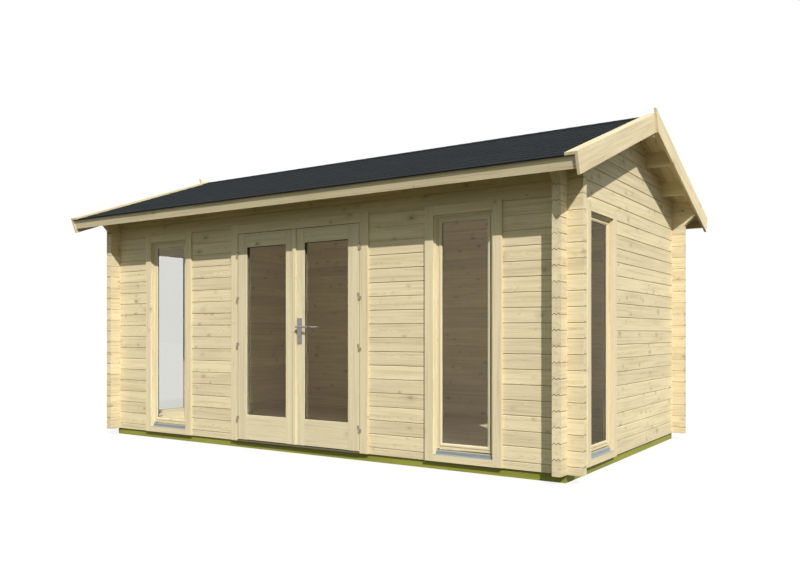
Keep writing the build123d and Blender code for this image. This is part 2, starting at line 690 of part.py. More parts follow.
with BuildPart() as lock_plates:
    half = LOCK_PLATE_WIDTH / 2
    low = BASE + LOCK_PLATE_RISE - LOCK_PLATE_HEIGHT / 2
    for face in (LEAF_FACE - LOCK_PLATE_THICKNESS, LEAF_BACK):
        block(
            (LEVER_X - half, face, low),
            (LEVER_X + half, face + LOCK_PLATE_THICKNESS, low + LOCK_PLATE_HEIGHT),
        )
    through = LEAF_THICKNESS + 2 * LOCK_PLATE_THICKNESS
    with BuildSketch(PLANE_ACROSS_DOOR.offset(-LOCK_PLATE_THICKNESS)):
        Circle(SPINDLE_RADIUS + SPINDLE_CLEARANCE)
        with Locations((0, LEVER_RISE - KEYHOLE_RISE)):
            Circle(KEYHOLE_RADIUS)
        with Locations((0, LEVER_RISE - KEYHOLE_RISE + KEYHOLE_DROP / 2)):
            Rectangle(KEYHOLE_RADIUS, KEYHOLE_DROP)
    extrude(amount=through, mode=Mode.SUBTRACT)
write(lock_plates, "lock_plates")

with BuildPart() as door_lever:
    plate_face = LOCK_PLATE_THICKNESS + LEVER_PLATE_GAP
    with BuildSketch(PLANE_ACROSS_DOOR.offset(-LEVER_STANDOFF)):
        Circle(SPINDLE_RADIUS)
    extrude(amount=LEAF_THICKNESS + 2 * LEVER_STANDOFF)
    for low, high in (
        (-LEVER_STANDOFF - LEVER_RADIUS, -plate_face),
        (LEAF_THICKNESS + plate_face, LEAF_THICKNESS + LEVER_STANDOFF + LEVER_RADIUS),
    ):
        with BuildSketch(PLANE_ACROSS_DOOR.offset(low)):
            Circle(LEVER_NECK_RADIUS)
        extrude(amount=high - low)
    for y in (LEAF_FACE - LEVER_STANDOFF, LEAF_BACK + LEVER_STANDOFF):
        grip_plane = Plane(origin=(LEVER_X, y, LEVER_Z), x_dir=(0, 1, 0), z_dir=(1, 0, 0))
        with BuildSketch(grip_plane):
            Circle(LEVER_RADIUS)
        extrude(amount=LEVER_LENGTH)
write(door_lever, "door_lever")
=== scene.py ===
"""Finishes a garden log cabin: boards, shingles, joinery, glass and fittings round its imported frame.

Everything is in metres in the cabin's own axes: X along the front to the right, Y from the front to the
back, Z up from the ground, with the origin under the middle of the cabin.
"""

from __future__ import annotations

import logging
import math
import random
from dataclasses import dataclass
from enum import Enum
from functools import partial, reduce
from itertools import product
from typing import Iterable, Sequence

import bmesh
import bpy
from mathutils import Matrix, Vector


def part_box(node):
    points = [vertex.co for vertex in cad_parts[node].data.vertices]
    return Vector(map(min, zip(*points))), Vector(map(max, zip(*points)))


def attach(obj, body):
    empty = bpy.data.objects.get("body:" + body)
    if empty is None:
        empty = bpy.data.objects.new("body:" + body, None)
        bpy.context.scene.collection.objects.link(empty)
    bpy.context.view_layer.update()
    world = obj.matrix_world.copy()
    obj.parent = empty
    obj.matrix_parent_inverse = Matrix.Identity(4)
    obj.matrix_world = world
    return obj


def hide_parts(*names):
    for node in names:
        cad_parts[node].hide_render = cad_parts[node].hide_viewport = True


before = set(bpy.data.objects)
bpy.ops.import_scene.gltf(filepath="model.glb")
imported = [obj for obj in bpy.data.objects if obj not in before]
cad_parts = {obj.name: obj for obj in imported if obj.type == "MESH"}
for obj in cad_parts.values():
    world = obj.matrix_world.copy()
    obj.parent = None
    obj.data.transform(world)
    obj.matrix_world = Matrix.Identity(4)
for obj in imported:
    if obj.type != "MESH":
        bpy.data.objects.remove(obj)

BMesh, BMVert, BMEdge = bmesh.types.BMesh, bmesh.types.BMVert, bmesh.types.BMEdge
Material, Node = bpy.types.Material, bpy.types.Node
NodeTree, Socket = bpy.types.NodeTree, bpy.types.NodeSocket
Triple = tuple[float, float, float]
Outline = Sequence[tuple[float, float]]

LOG = logging.getLogger("log_cabin")
SEED = 41
SPAN = 16.0  # more than the cabin measures any way
SLACK = 0.0002  # left between pieces that touch
UP = Vector((0.0, 0.0, 1.0))
EVEN = Matrix.Identity(3)
CABIN, LEFT_DOOR, RIGHT_DOOR = "cabin", "left_door", "right_door"


class Axis(Enum):
    """The cabin's own axes, as a board may run along them."""

    X = 0
    Y = 1
    Z = 2


class Slot(str, Enum):
    """Finishes that the cabin's record names."""

    FLOOR = "floor"
    LOGS = "logs"
    ROOF_BOARDS = "roof_boards"
    ROOFING = "roofing"
    TRIM = "trim"
    JOINERY = "joinery"
    SILLS = "sills"
    GLAZING = "glazing"


class Kind(str, Enum):
    """What a node group's socket carries."""

    NUMBER = "NodeSocketFloat"
    VECTOR = "NodeSocketVector"
    COLOR = "NodeSocketColor"


# ---- Node graphs ------------------------------------------------------------------------------------


class Graph:
    """A node tree being built, with a short method for each kind of node that the finishes use."""

    def __init__(self, tree: NodeTree) -> None:
        """Starts on an empty tree."""
        self.tree = tree

    @classmethod
    def cleared(cls, owner: Material | bpy.types.World) -> Graph:
        """Empties a material's or a world's tree.

        Args:
            owner: The material or world.

        Returns:
            A graph on its tree.
        """
        owner.use_nodes = True
        owner.node_tree.nodes.clear()
        return cls(owner.node_tree)

    def node(self, kind: str, *values: object, **settings: object) -> Node:
        """Adds a node.

        Args:
            kind: The node's type name.
            *values: What its first inputs are fed, in order.
            **settings: Attributes to set on it.

        Returns:
            The new node.
        """
        made = self.tree.nodes.new(kind)
        for name, value in settings.items():
            setattr(made, name, value)
        for socket, value in zip(made.inputs, values):
            self.feed(socket, value)
        return made

    def feed(self, socket: Socket, value: object) -> None:
        """Links a socket to another, or sets its plain value.

        Args:
            socket: The input to feed.
            value: An output socket, or a number, vector or colour.
        """
        if isinstance(value, Socket):
            self.tree.links.new(value, socket)
        else:
            socket.default_value = (*value, 1.0) if socket.type == "RGBA" else value

    def feed_all(self, node: Node, **values: object) -> Node:
        """Feeds a node's named inputs.

        Args:
            node: The node.
            **values: What each input is fed, where an underscore stands for a space.

        Returns:
            The node.
        """
        for name, value in values.items():
            self.feed(node.inputs[name.replace("_", " ")], value)
        return node

    def math(self, operation: str, *values: object) -> Socket:
        """A Math node's output."""
        return self.node("ShaderNodeMath", *values, operation=operation).outputs[0]

    def times(self, *values: object) -> Socket:
        """Numbers multiplied, in order."""
        return reduce(partial(self.math, "MULTIPLY"), values)

    def plus(self, *values: object) -> Socket:
        """Numbers added, in order."""
        return reduce(partial(self.math, "ADD"), values)

    def minus(self, first: object, second: object) -> Socket:
        """One number less another."""
        return self.math("SUBTRACT", first, second)

    def scaled(self, value: object, factor: object, start: object) -> Socket:
        """A number times a factor, from a start."""
        return self.math("MULTIPLY_ADD", value, factor, start)

    def vector(self, operation: str, *values: object) -> Socket:
        """A Vector Math node's vector output."""
        return self.node("ShaderNodeVectorMath", *values, operation=operation).outputs[0]

    def stretched(self, vector: Socket, scales: object) -> Socket:
        """A vector with each part scaled."""
        return self.vector("MULTIPLY", vector, scales)

    def separate(self, vector: Socket) -> tuple[Socket, ...]:
        """A vector's three parts."""
        return tuple(self.node("ShaderNodeSeparateXYZ", vector).outputs)

    def combine(self, *parts: object) -> Socket:
        """A vector of three numbers."""
        return self.node("ShaderNodeCombineXYZ", *parts).outputs[0]

    def position(self) -> Socket:
        """Where the surface lies, in the cabin's own axes."""
        return self.node("ShaderNodeTexCoord").outputs["Object"]

    def attribute(self, name: str) -> Node:
        """What the piece carries under a name."""
        return self.node("ShaderNodeAttribute", attribute_name=name)

    def noise(self, vector: Socket, scale: float, detail: float = 2.0, roughness: float = 0.5) -> Socket:
        """A noise texture's value, from 0 to 1."""
        made = self.node("ShaderNodeTexNoise")
        self.feed_all(made, Vector=vector, Scale=scale, Detail=detail, Roughness=roughness)
        return made.outputs["Fac"]

    def white(self, value: Socket) -> tuple[Socket, ...]:
        """Three unrelated random numbers for each value."""
        made = self.feed_all(self.node("ShaderNodeTexWhiteNoise", noise_dimensions="1D"), W=value)
        return self.separate(made.outputs["Color"])

    def ramp(self, value: object, low: object, high: object, to: tuple[float, float] = (0.0, 1.0)) -> Socket:
        """A value taken smoothly from one range to another, and held at the ends."""
        made = self.node("ShaderNodeMapRange", value, low, high, *to, interpolation_type="SMOOTHSTEP")
        return made.outputs["Result"]

    def mix(self, factor: object, first: object, second: object, blend: str = "MIX") -> Socket:
        """Mixes two colours.

        Args:
            factor: How much of the second shows.
            first: A colour.
            second: Another.
            blend: How they mix.

        Returns:
            The mixed colour.
        """
        made = self.node("ShaderNodeMix", factor, data_type="RGBA", blend_type=blend)
        self.feed(made.inputs[6], first)
        self.feed(made.inputs[7], second)
        return made.outputs[2]

    def toned(self, color: Socket, tone: Socket) -> Socket:
        """A colour made lighter or darker."""
        return self.mix(1.0, color, self.combine(tone, tone, tone), "MULTIPLY")

    def bump(self, height: Socket, strength: float, distance: float) -> Socket:
        """The normal of a surface with a relief."""
        made = self.node("ShaderNodeBump")
        return self.feed_all(made, Strength=strength, Distance=distance, Height=height).outputs[0]

    def either(self, factor: object, first: Node, second: Node) -> Node:
        """Two shaders mixed."""
        return self.node("ShaderNodeMixShader", factor, first.outputs[0], second.outputs[0])

    def place(self, tree: NodeTree, **values: object) -> Node:
        """A node group with its named inputs fed."""
        return self.feed_all(self.node("ShaderNodeGroup", node_tree=tree), **values)


def new_group(name: str, inputs: dict[str, Kind], outputs: dict[str, Kind]) -> tuple[Graph, Sequence, Node]:
    """Starts a shader node group.

    Args:
        name: The group's name.
        inputs: Kind of each input, by name.
        outputs: Kind of each output, by name.

    Returns:
        Its graph, its inputs as sockets to read, and the node to feed with its outputs.
    """
    tree = bpy.data.node_groups.new(name, "ShaderNodeTree")
    for way, kinds in (("INPUT", inputs), ("OUTPUT", outputs)):
        for label, kind in kinds.items():
            tree.interface.new_socket(name=label, in_out=way, socket_type=kind.value)
    graph = Graph(tree)
    return graph, graph.node("NodeGroupInput").outputs, graph.node("NodeGroupOutput")


WOOD_INPUTS = {
    **dict.fromkeys(("Pale", "Late", "Knot"), Kind.COLOR),
    **dict.fromkeys(("Contrast", "Knot Spacing", "Knot Share", "Variation"), Kind.NUMBER),
}
WOOD_OUTPUTS = {"Color": Kind.COLOR, "Height": Kind.NUMBER, "Roughness": Kind.NUMBER}
EAVE_SHADE_BLEND = 0.08  # height over which joint lines are painted paler, going up into the eaves' shadow


@dataclass(frozen=True)
class Growth:
    """How spruce grows and is sawn. A pattern's scales run along, across and through a board."""

    apart: float = 37.0  # along the grain, between one board's stretch and the next
    off_pith: tuple[float, float] = (0.11, -0.055)  # spread and least, across
    deep: tuple[float, float] = (0.16, -0.10)  # spread and least, through
    ring: float = 0.0042  # from one growth ring to the next
    wander: float = 0.055  # how far the rings stray along the board
    swerve: float = 0.012  # how far they go round a knot
    knot: tuple[float, float] = (0.0130, 0.0036)  # spread and least of a knot's radius
    ragged: tuple[float, float] = (0.018, -0.009)  # spread and least of its edge
    halo: float = 3.6  # darker wood round a knot, in its radii
    whorl: float = 2.6  # a metre, of the stretches that have knots
    long_knots: Triple = (0.62, 1.0, 1.0)
    ragged_grain: Triple = (0.6, 1.0, 1.0)
    speckle: Triple = (0.45, 1.0, 1.0)
    streaks: Triple = (1.3, 46.0, 120.0)
    marks: Triple = (9.0, 75.0, 160.0)
    fibres: Triple = (24.0, 900.0, 3000.0)
    patches: Triple = (1.6, 9.0, 20.0)


def softwood_group(grown: Growth) -> NodeTree:
    """Spruce in the round: growth rings about a pith, so faces, edges and ends all agree, with knots.

    Args:
        grown: How it grows and is sawn.

    Returns:
        The group. Vector's X runs along the grain, in metres, and Seed tells boards apart.
    """
    graph, given, out = new_group(
        "Softwood", {"Vector": Kind.VECTOR, "Seed": Kind.NUMBER, **WOOD_INPUTS}, WOOD_OUTPUTS)
    one, two, three = graph.white(given["Seed"])
    along, across, through = graph.separate(given["Vector"])
    along = graph.scaled(one, grown.apart, along)
    across = graph.plus(across, graph.scaled(two, *grown.off_pith))
    depth = graph.plus(through, graph.scaled(three, *grown.deep))
    # Knots run through a board from face to face, so they hardly change with depth.
    flat = graph.combine(along, across, graph.times(depth, 0.2))
    spacing = given["Knot Spacing"]
    cells = graph.node("ShaderNodeTexVoronoi", voronoi_dimensions="2D", feature="F1", distance="EUCLIDEAN")
    graph.feed_all(
        cells, Vector=graph.stretched(flat, grown.long_knots), Scale=graph.math("DIVIDE", 1.0, spacing))
    chance, size, strength = graph.separate(cells.outputs["Color"])
    # A tree's branches stand in whorls, so the knots come close together and then not for a while.
    whorl = graph.noise(graph.combine(along, graph.times(two, 9.0), 0.0), grown.whorl, 1.0)
    share = graph.times(given["Knot Share"], graph.ramp(whorl, 0.38, 0.62, (0.25, 1.9)))
    there = graph.math("LESS_THAN", chance, share)
    ragged = graph.noise(graph.stretched(flat, grown.ragged_grain), 62.0, 3.0, 0.6)
    apart = graph.plus(graph.times(cells.outputs["Distance"], spacing), graph.scaled(ragged, *grown.ragged))
    radius = graph.scaled(graph.math("POWER", size, 1.6), *grown.knot)
    knot = graph.times(
        graph.ramp(apart, radius, graph.times(radius, 0.45)), there, graph.scaled(strength, 0.55, 0.15),
        graph.scaled(size, 0.6, 0.5))
    halo = graph.times(graph.ramp(apart, graph.times(radius, grown.halo), 0.0), there)
    speckle = graph.ramp(graph.noise(graph.stretched(flat, grown.speckle), 170.0, 3.0, 0.7), 0.38, 0.62)
    # Rings, bent a little along the board and round each knot.
    wander = graph.noise(graph.combine(graph.times(along, 0.9), across, depth), 2.4, 2.0)
    reach = graph.math("SQRT", graph.plus(*(graph.math("POWER", part, 2.0) for part in (across, depth))))
    reach = graph.plus(reach, graph.times(wander, grown.wander), graph.times(halo, grown.swerve))
    ring = graph.math("FRACT", graph.math("DIVIDE", reach, grown.ring))
    late = graph.times(graph.math("POWER", ring, 2.5), graph.ramp(ring, 1.0, 0.9))
    streaks = graph.noise(graph.stretched(flat, grown.streaks), 1.0, 3.0, 0.6)
    marks = graph.noise(graph.stretched(flat, grown.marks), 1.0, 3.0, 0.7)
    fibres = graph.noise(graph.stretched(flat, grown.fibres), 1.0, 1.0)
    patches = graph.noise(graph.stretched(flat, grown.patches), 1.0, 2.0)
    amount = graph.plus(
        graph.times(late, given["Contrast"]), graph.times(graph.ramp(streaks, 0.42, 0.72), 0.54),
        graph.times(graph.ramp(marks, 0.58, 0.78), 0.56))
    tone = graph.plus(
        graph.times(graph.minus(two, 0.5), given["Variation"]), graph.scaled(patches, 0.24, -0.12),
        graph.scaled(fibres, 0.06, 0.97))
    color = graph.toned(graph.mix(graph.math("MINIMUM", amount, 1.0), given["Pale"], given["Late"]), tone)
    smudge = graph.mix(0.55, given["Late"], given["Knot"])
    blotch = graph.times(halo, graph.scaled(speckle, 0.75, 0.20), graph.scaled(strength, 0.6, 0.3))
    color = graph.mix(blotch, color, smudge)
    height = graph.scaled(late, -0.35, graph.times(fibres, 0.25))
    graph.feed_all(
        out, Color=graph.mix(graph.times(knot, 0.85), color, given["Knot"]),
        Height=graph.scaled(knot, 0.3, height), Roughness=graph.scaled(streaks, 0.2, 0.56))
    return graph.tree


def finish_wood(graph: Graph, softwood: NodeTree, given: Sequence, vector: Socket, seed: Socket) -> Node:
    """Puts the softwood into another group, which hands its own wood inputs on to it.

    Args:
        graph: The other group's graph.
        softwood: The softwood group.
        given: The other group's inputs.
        vector: Coordinates on one board, with X along the grain.
        seed: The board's number.

    Returns:
        The placed softwood.
    """
    handed = {name.replace(" ", "_"): given[name] for name in WOOD_INPUTS}
    return graph.place(softwood, Vector=vector, Seed=seed, **handed)


def log_wall_group(softwood: NodeTree) -> NodeTree:
    """Softwood on a wall of stacked logs, with the dark line where two logs meet in their groove.

    Args:
        softwood: The softwood group.

    Returns:
        The group. It takes the run along the wall, the depth from the wall's middle and the height over
        the first joint.
    """
    names = ("Run", "Depth", "Height", "Course", "Wall", "Groove Depth", "Outward", "Dry")
    inputs = {**dict.fromkeys(names, Kind.NUMBER), "Joint": Kind.COLOR, **WOOD_INPUTS}
    graph, given, out = new_group("Log Wall", inputs, WOOD_OUTPUTS)
    course, groove = given["Course"], given["Groove Depth"]
    number = graph.math("DIVIDE", given["Height"], course)
    log = graph.math("FLOOR", number)
    up = graph.times(graph.minus(graph.minus(number, log), 0.5), course)
    vector = graph.combine(given["Run"], up, given["Depth"])
    wood = finish_wood(graph, softwood, given, vector, graph.scaled(given["Wall"], 61.0, log)).outputs
    apart = graph.minus(graph.times(course, 0.5), graph.math("ABSOLUTE", up))
    # The line lies in the groove alone, so the ends of the logs keep their own joints. It is fainter indoors.
    outwards = graph.times(given["Depth"], given["Outward"])
    outside = graph.math("GREATER_THAN", outwards, groove)
    inside = graph.math("GREATER_THAN", graph.times(outwards, -1.0), groove)
    strength = graph.scaled(outside, 0.90, graph.times(inside, 0.25))
    # Painted shade: above the height where the eaves' shadow falls, the joint line is painted paler, as a
    # groove shows little in shade.
    shade_fade = graph.ramp(given["Height"], given["Dry"], graph.plus(given["Dry"], EAVE_SHADE_BLEND), (1.0, 0.35))
    line = graph.times(strength, shade_fade, graph.ramp(apart, 0.0024, 0.0008))
    color = graph.mix(line, wood["Color"], given["Joint"])
    graph.feed_all(out, Color=color, Height=wood["Height"], Roughness=wood["Roughness"])
    return graph.tree


def board_lot_group(softwood: NodeTree) -> NodeTree:
    """Softwood on several evenly set boards of one piece, each about its own middle.

    Args:
        softwood: The softwood group.

    Returns:
        The group. Cell is the spacing of the boards, Shift brings them to the middles of their cells, and
        Turn brings the grain along X.
    """
    places = dict.fromkeys(("Vector", "Cell", "Shift", "Turn"), Kind.VECTOR)
    graph, given, out = new_group("Board Lot", {**places, "Lot": Kind.NUMBER, **WOOD_INPUTS}, WOOD_OUTPUTS)
    cell = given["Cell"]
    moved = graph.vector("ADD", given["Vector"], given["Shift"])
    corner = graph.stretched(graph.vector("FLOOR", graph.vector("DIVIDE", moved, cell)), cell)
    half = graph.stretched(cell, (0.5, 0.5, 0.5))
    own = graph.vector("SUBTRACT", graph.vector("SUBTRACT", moved, corner), half)
    turned = graph.node("ShaderNodeVectorRotate", rotation_type="EULER_XYZ")
    graph.feed_all(turned, Vector=own, Rotation=given["Turn"])
    x, y, z = graph.separate(corner)
    # Odd factors keep neighbouring boards and pieces from growing alike.
    seed = graph.scaled(x, 3.77, graph.scaled(y, 7.31, graph.times(z, 13.17)))
    seed = graph.plus(seed, graph.times(given["Lot"], 17.3))
    wood = finish_wood(graph, softwood, given, turned.outputs["Vector"], seed)
    graph.feed_all(out, **{name: wood.outputs[name] for name in WOOD_OUTPUTS})
    return graph.tree


def grit_group() -> NodeTree:
    """Crushed slate on bitumen: fine chips of several greys, with broader weathering.

    Returns:
        The group, whose Tone lightens or darkens one shingle as a whole.
    """
    graph, given, out = new_group(
        "Slate Grit", {"Vector": Kind.VECTOR, "Dark": Kind.COLOR, "Light": Kind.COLOR, "Tone": Kind.NUMBER},
        {"Color": Kind.COLOR, "Height": Kind.NUMBER})
    chips = graph.node("ShaderNodeTexVoronoi", feature="F1")
    graph.feed_all(chips, Vector=given["Vector"], Scale=620.0)
    shade, _, _ = graph.separate(chips.outputs["Color"])
    weather = graph.noise(graph.stretched(given["Vector"], (1.0, 3.0, 3.0)), 2.2, 4.0, 0.6)
    amount = graph.plus(graph.times(shade, 0.55), graph.times(weather, 0.5))
    color = graph.mix(graph.math("MINIMUM", amount, 1.0), given["Dark"], given["Light"])
    graph.feed_all(out, Color=graph.toned(color, given["Tone"]), Height=chips.outputs["Distance"])
    return graph.tree


def worn_metal_group() -> NodeTree:
    """Metal or paint that is a little uneven in colour and polish.

    Returns:
        The group, whose Stretch draws the marks out along one axis, as brushing does.
    """
    graph, given, out = new_group(
        "Worn Metal",
        {"Vector": Kind.VECTOR, "Stretch": Kind.VECTOR, "Color": Kind.COLOR, "Roughness": Kind.NUMBER,
         "Wear": Kind.NUMBER},
        WOOD_OUTPUTS)
    fine = graph.noise(graph.stretched(given["Vector"], given["Stretch"]), 1.0, 3.0, 0.6)
    broad = graph.noise(given["Vector"], 26.0, 3.0)
    tone = graph.scaled(graph.minus(broad, 0.5), given["Wear"], 1.0)
    rough = graph.scaled(graph.minus(fine, 0.5), given["Wear"], given["Roughness"])
    graph.feed_all(
        out, Color=graph.toned(given["Color"], tone), Height=fine,
        Roughness=graph.math("MAXIMUM", rough, 0.05))
    return graph.tree


# ---- Finishes ---------------------------------------------------------------------------------------


@dataclass(frozen=True)
class Wood:
    """One kind of timber as it looks on this cabin."""

    pale: Triple = (0.790, 0.682, 0.458)
    late: Triple = (0.560, 0.450, 0.262)
    knot: Triple = (0.255, 0.185, 0.110)
    contrast: float = 0.40
    knot_spacing: float = 0.105
    knot_share: float = 0.16
    variation: float = 0.10
    sheen: float = 0.25
    bump: float = 0.25
    relief: float = 0.0006


@dataclass(frozen=True)
class Bitumen:
    """Slate-chipped bitumen. Chipped pieces stand out from the sheet, and each carries its own tone."""

    name: str
    dark: Triple
    light: Triple
    chipped: bool
    roughness: float = 0.95
    sheen: float = 0.06
    bump: float = 0.5
    relief: float = 0.0012


@dataclass(frozen=True)
class Coat:
    """Metal, paint or rubber, with the scale of its marks along each axis."""

    name: str
    color: Triple
    roughness: float
    metallic: float
    wear: float
    stretch: Triple
    sheen: float = 0.5
    bump: float = 0.08
    relief: float = 0.0004


@dataclass(frozen=True)
class Glass:
    """Clear glazing that lamps shine through."""

    name: str
    ior: float  # how strongly it mirrors
    tint: Triple = (0.82, 0.825, 0.795)
    lamp_tint: Triple = (0.98, 1.0, 0.98)


@dataclass(frozen=True)
class JointGap:
    """The gap between two log ends, painted paler higher up, where the eaves' shadow falls."""

    name: str = "joint_shadow"
    # Painted shade: the dark colour shows below the eaves' shadow, the pale one within it.
    unshaded: Triple = (0.060, 0.042, 0.017)
    eave_shade: Triple = (0.270, 0.220, 0.135)
    roughness: float = 0.9


LOG_WOOD = Wood(variation=0.17, knot_share=0.36)
TRIM_WOOD = Wood(contrast=0.34, knot_spacing=0.13, knot_share=0.16, variation=0.08)
JOINERY_WOOD = Wood(
    pale=(0.756, 0.666, 0.457), contrast=0.30, knot_spacing=0.15, knot_share=0.07, variation=0.07, sheen=0.30)
FLOOR_WOOD = Wood(pale=(0.735, 0.630, 0.440), late=(0.590, 0.470, 0.290), variation=0.14)
TREATED_WOOD = Wood(
    pale=(0.300, 0.300, 0.050), late=(0.172, 0.178, 0.030), knot=(0.095, 0.080, 0.026), contrast=0.6,
    variation=0.14)
JOINT_BROWN = (0.155, 0.110, 0.050)
SHINGLES = Bitumen("slate_bitumen", (0.0102, 0.0122, 0.0140), (0.0250, 0.0288, 0.0320), True)
FELT = Bitumen("bitumen_felt", (0.008, 0.009, 0.010), (0.022, 0.024, 0.026), False)
# Dark rubber for the seals; on the door frame its darkness also stands in as painted shade for the gap round
# the leaves.
RUBBER = Coat("seal_rubber", (0.060, 0.050, 0.032), 0.85, 0.0, 0.3, (30.0, 30.0, 30.0), sheen=0.1)
SILL_PAINT = Coat("sill_paint", (0.365, 0.392, 0.408), 0.42, 0.0, 0.12, (60.0, 60.0, 60.0))
ZINC = Coat("zinc_hinges", (0.330, 0.285, 0.205), 0.55, 0.5, 0.22, (80.0, 80.0, 300.0))
SATIN = Coat("satin_plates", (0.300, 0.270, 0.275), 0.36, 1.0, 0.2, (300.0, 80.0, 60.0))
STEEL = Coat("steel_lever", (0.30, 0.28, 0.255), 0.42, 0.4, 0.15, (60.0, 80.0, 300.0))
MILL = Coat("mill_threshold", (0.150, 0.132, 0.090), 0.60, 0.6, 0.3, (8.0, 400.0, 400.0))
DOOR_GLASS = Glass("door_glass", 1.24)
WINDOW_GLASS = {"front": Glass("front_window_glass", 1.33), "side": Glass("side_window_glass", 1.07)}


def dress(node: str, material: Material) -> None:
    """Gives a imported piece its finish.

    Args:
        node: The piece's name in the frame.
        material: Its finish.
    """
    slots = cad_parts[node].data.materials
    if not slots:
        slots.append(material)
    for index in range(len(slots)):
        slots[index] = material


class Workshop:
    """Makes the node groups once, and the materials from them."""

    def __init__(self) -> None:
        """Builds the shared groups."""
        self.softwood = softwood_group(Growth())
        self.logs = log_wall_group(self.softwood)
        self.boards = board_lot_group(self.softwood)
        self.grit = grit_group()
        self.metal = worn_metal_group()
        self.lots = 0

    @staticmethod
    def start(name: str) -> tuple[Material, Graph, Node]:
        """Starts a material with one Principled shader.

        Args:
            name: The material's name.

        Returns:
            The material, its graph and its Principled node.
        """
        material = bpy.data.materials.new(name)
        graph = Graph.cleared(material)
        shader = graph.node("ShaderNodeBsdfPrincipled")
        graph.node("ShaderNodeOutputMaterial", shader.outputs[0])
        return material, graph, shader

    def _wooden(self, name: str, wood: Wood, group: NodeTree) -> tuple[Material, Graph, Node]:
        """Starts a wooden material.

        Args:
            name: Its name.
            wood: The kind of timber.
            group: The wood group that it takes.

        Returns:
            The material, its graph and the placed group, whose other inputs are still to be fed.
        """
        material, graph, shader = self.start(name)
        grain = graph.place(
            group, Pale=wood.pale, Late=wood.late, Knot=wood.knot, Contrast=wood.contrast,
            Knot_Spacing=wood.knot_spacing, Knot_Share=wood.knot_share, Variation=wood.variation)
        graph.feed_all(
            shader, Base_Color=grain.outputs["Color"], Roughness=grain.outputs["Roughness"],
            Specular_IOR_Level=wood.sheen, Normal=graph.bump(grain.outputs["Height"], wood.bump, wood.relief))
        return material, graph, grain

    def jointed(self, name: str, wood: Wood) -> Material:
        """Wood on a piece whose boards carry their own grain and seed, as Joinery writes them.

        Args:
            name: The material's name.
            wood: The kind of timber.

        Returns:
            The material.
        """
        material, graph, grain = self._wooden(name, wood, self.softwood)
        own, seed = graph.attribute("grain").outputs["Vector"], graph.attribute("seed").outputs["Fac"]
        graph.feed_all(grain, Vector=own, Seed=seed)
        return material

    def stack(self, wall: LogWall) -> None:
        """Dresses a packed wall of stacked logs.

        Args:
            wall: The wall.
        """
        material, graph, grain = self._wooden(f"logs_{wall.node}", LOG_WOOD, self.logs)
        x, y, z = graph.separate(graph.position())
        run, depth = (x, y) if wall.along is Axis.X else (y, x)
        graph.feed_all(
            grain, Run=run, Depth=graph.minus(depth, wall.middle), Height=graph.minus(z, wall.first_joint),
            Course=wall.course, Wall=float(wall.number), Groove_Depth=wall.groove_depth,
            Outward=math.copysign(1.0, wall.middle), Dry=wall.eave_shade - wall.first_joint, Joint=JOINT_BROWN)
        dress(wall.node, material)

    def timbers(
        self, node: str, wood: Wood, turn: Matrix, across: Axis = Axis.Y, count: int = 1, width: float = 0.0
    ) -> None:
        """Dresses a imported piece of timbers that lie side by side, evenly set, each with its own grain.

        Args:
            node: The piece's name in the frame.
            wood: The kind of timber.
            turn: Rotation from the cabin's axes to axes with X along the grain.
            across: The way from one timber to the next.
            count: How many there are.
            width: How wide each one is.
        """
        self.lots += 1
        low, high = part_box(node)
        cell = [SPAN] * 3
        if count > 1:
            cell[across.value] = ((high - low)[across.value] - width) / (count - 1)
        # An odd number has a timber in its middle, and an even number has a gap there.
        shift = [size / 2 - middle for size, middle in zip(cell, (low + high) / 2)]
        if count % 2 == 0:
            shift[across.value] += cell[across.value] / 2
        material, graph, grain = self._wooden(f"timber_{node}", wood, self.boards)
        graph.feed_all(
            grain, Vector=graph.position(), Cell=cell, Shift=shift, Turn=turn.to_euler(),
            Lot=float(self.lots))
        dress(node, material)

    def bitumen(self, kind: Bitumen) -> Material:
        """Roofing.

        Args:
            kind: Its finish.

        Returns:
            The material.
        """
        material, graph, shader = self.start(kind.name)
        tone = graph.attribute("tone").outputs["Fac"] if kind.chipped else 1.0
        grit = graph.place(self.grit, Vector=graph.position(), Dark=kind.dark, Light=kind.light, Tone=tone)
        graph.feed_all(
            shader, Base_Color=grit.outputs["Color"], Roughness=kind.roughness, Specular_IOR_Level=kind.sheen)
        if kind.chipped:
            graph.feed_all(shader, Normal=graph.bump(grit.outputs["Height"], kind.bump, kind.relief))
        return material

    def coated(self, coat: Coat) -> Material:
        """Metal, paint or rubber.

        Args:
            coat: Its finish.

        Returns:
            The material.
        """
        material, graph, shader = self.start(coat.name)
        worn = graph.place(
            self.metal, Vector=graph.position(), Stretch=coat.stretch, Color=coat.color,
            Roughness=coat.roughness, Wear=coat.wear)
        graph.feed_all(
            shader, Base_Color=worn.outputs["Color"], Roughness=worn.outputs["Roughness"],
            Metallic=coat.metallic, Specular_IOR_Level=coat.sheen,
            Normal=graph.bump(worn.outputs["Height"], coat.bump, coat.relief))
        return material

    def joint_gap(self, gap: JointGap, eave_shade: float) -> Material:
        """The dark gap between two log ends.

        Args:
            gap: Its finish.
            eave_shade: Height above which it is painted paler, as shade under the eaves.

        Returns:
            The material.
        """
        material, graph, shader = self.start(gap.name)
        _, _, height = graph.separate(graph.position())
        # Painted shade: the gap is painted paler above the height where the eaves' shadow falls.
        shade_fade = graph.ramp(height, eave_shade, eave_shade + EAVE_SHADE_BLEND)
        graph.feed_all(shader, Base_Color=graph.mix(shade_fade, gap.unshaded, gap.eave_shade), Roughness=gap.roughness)
        return material

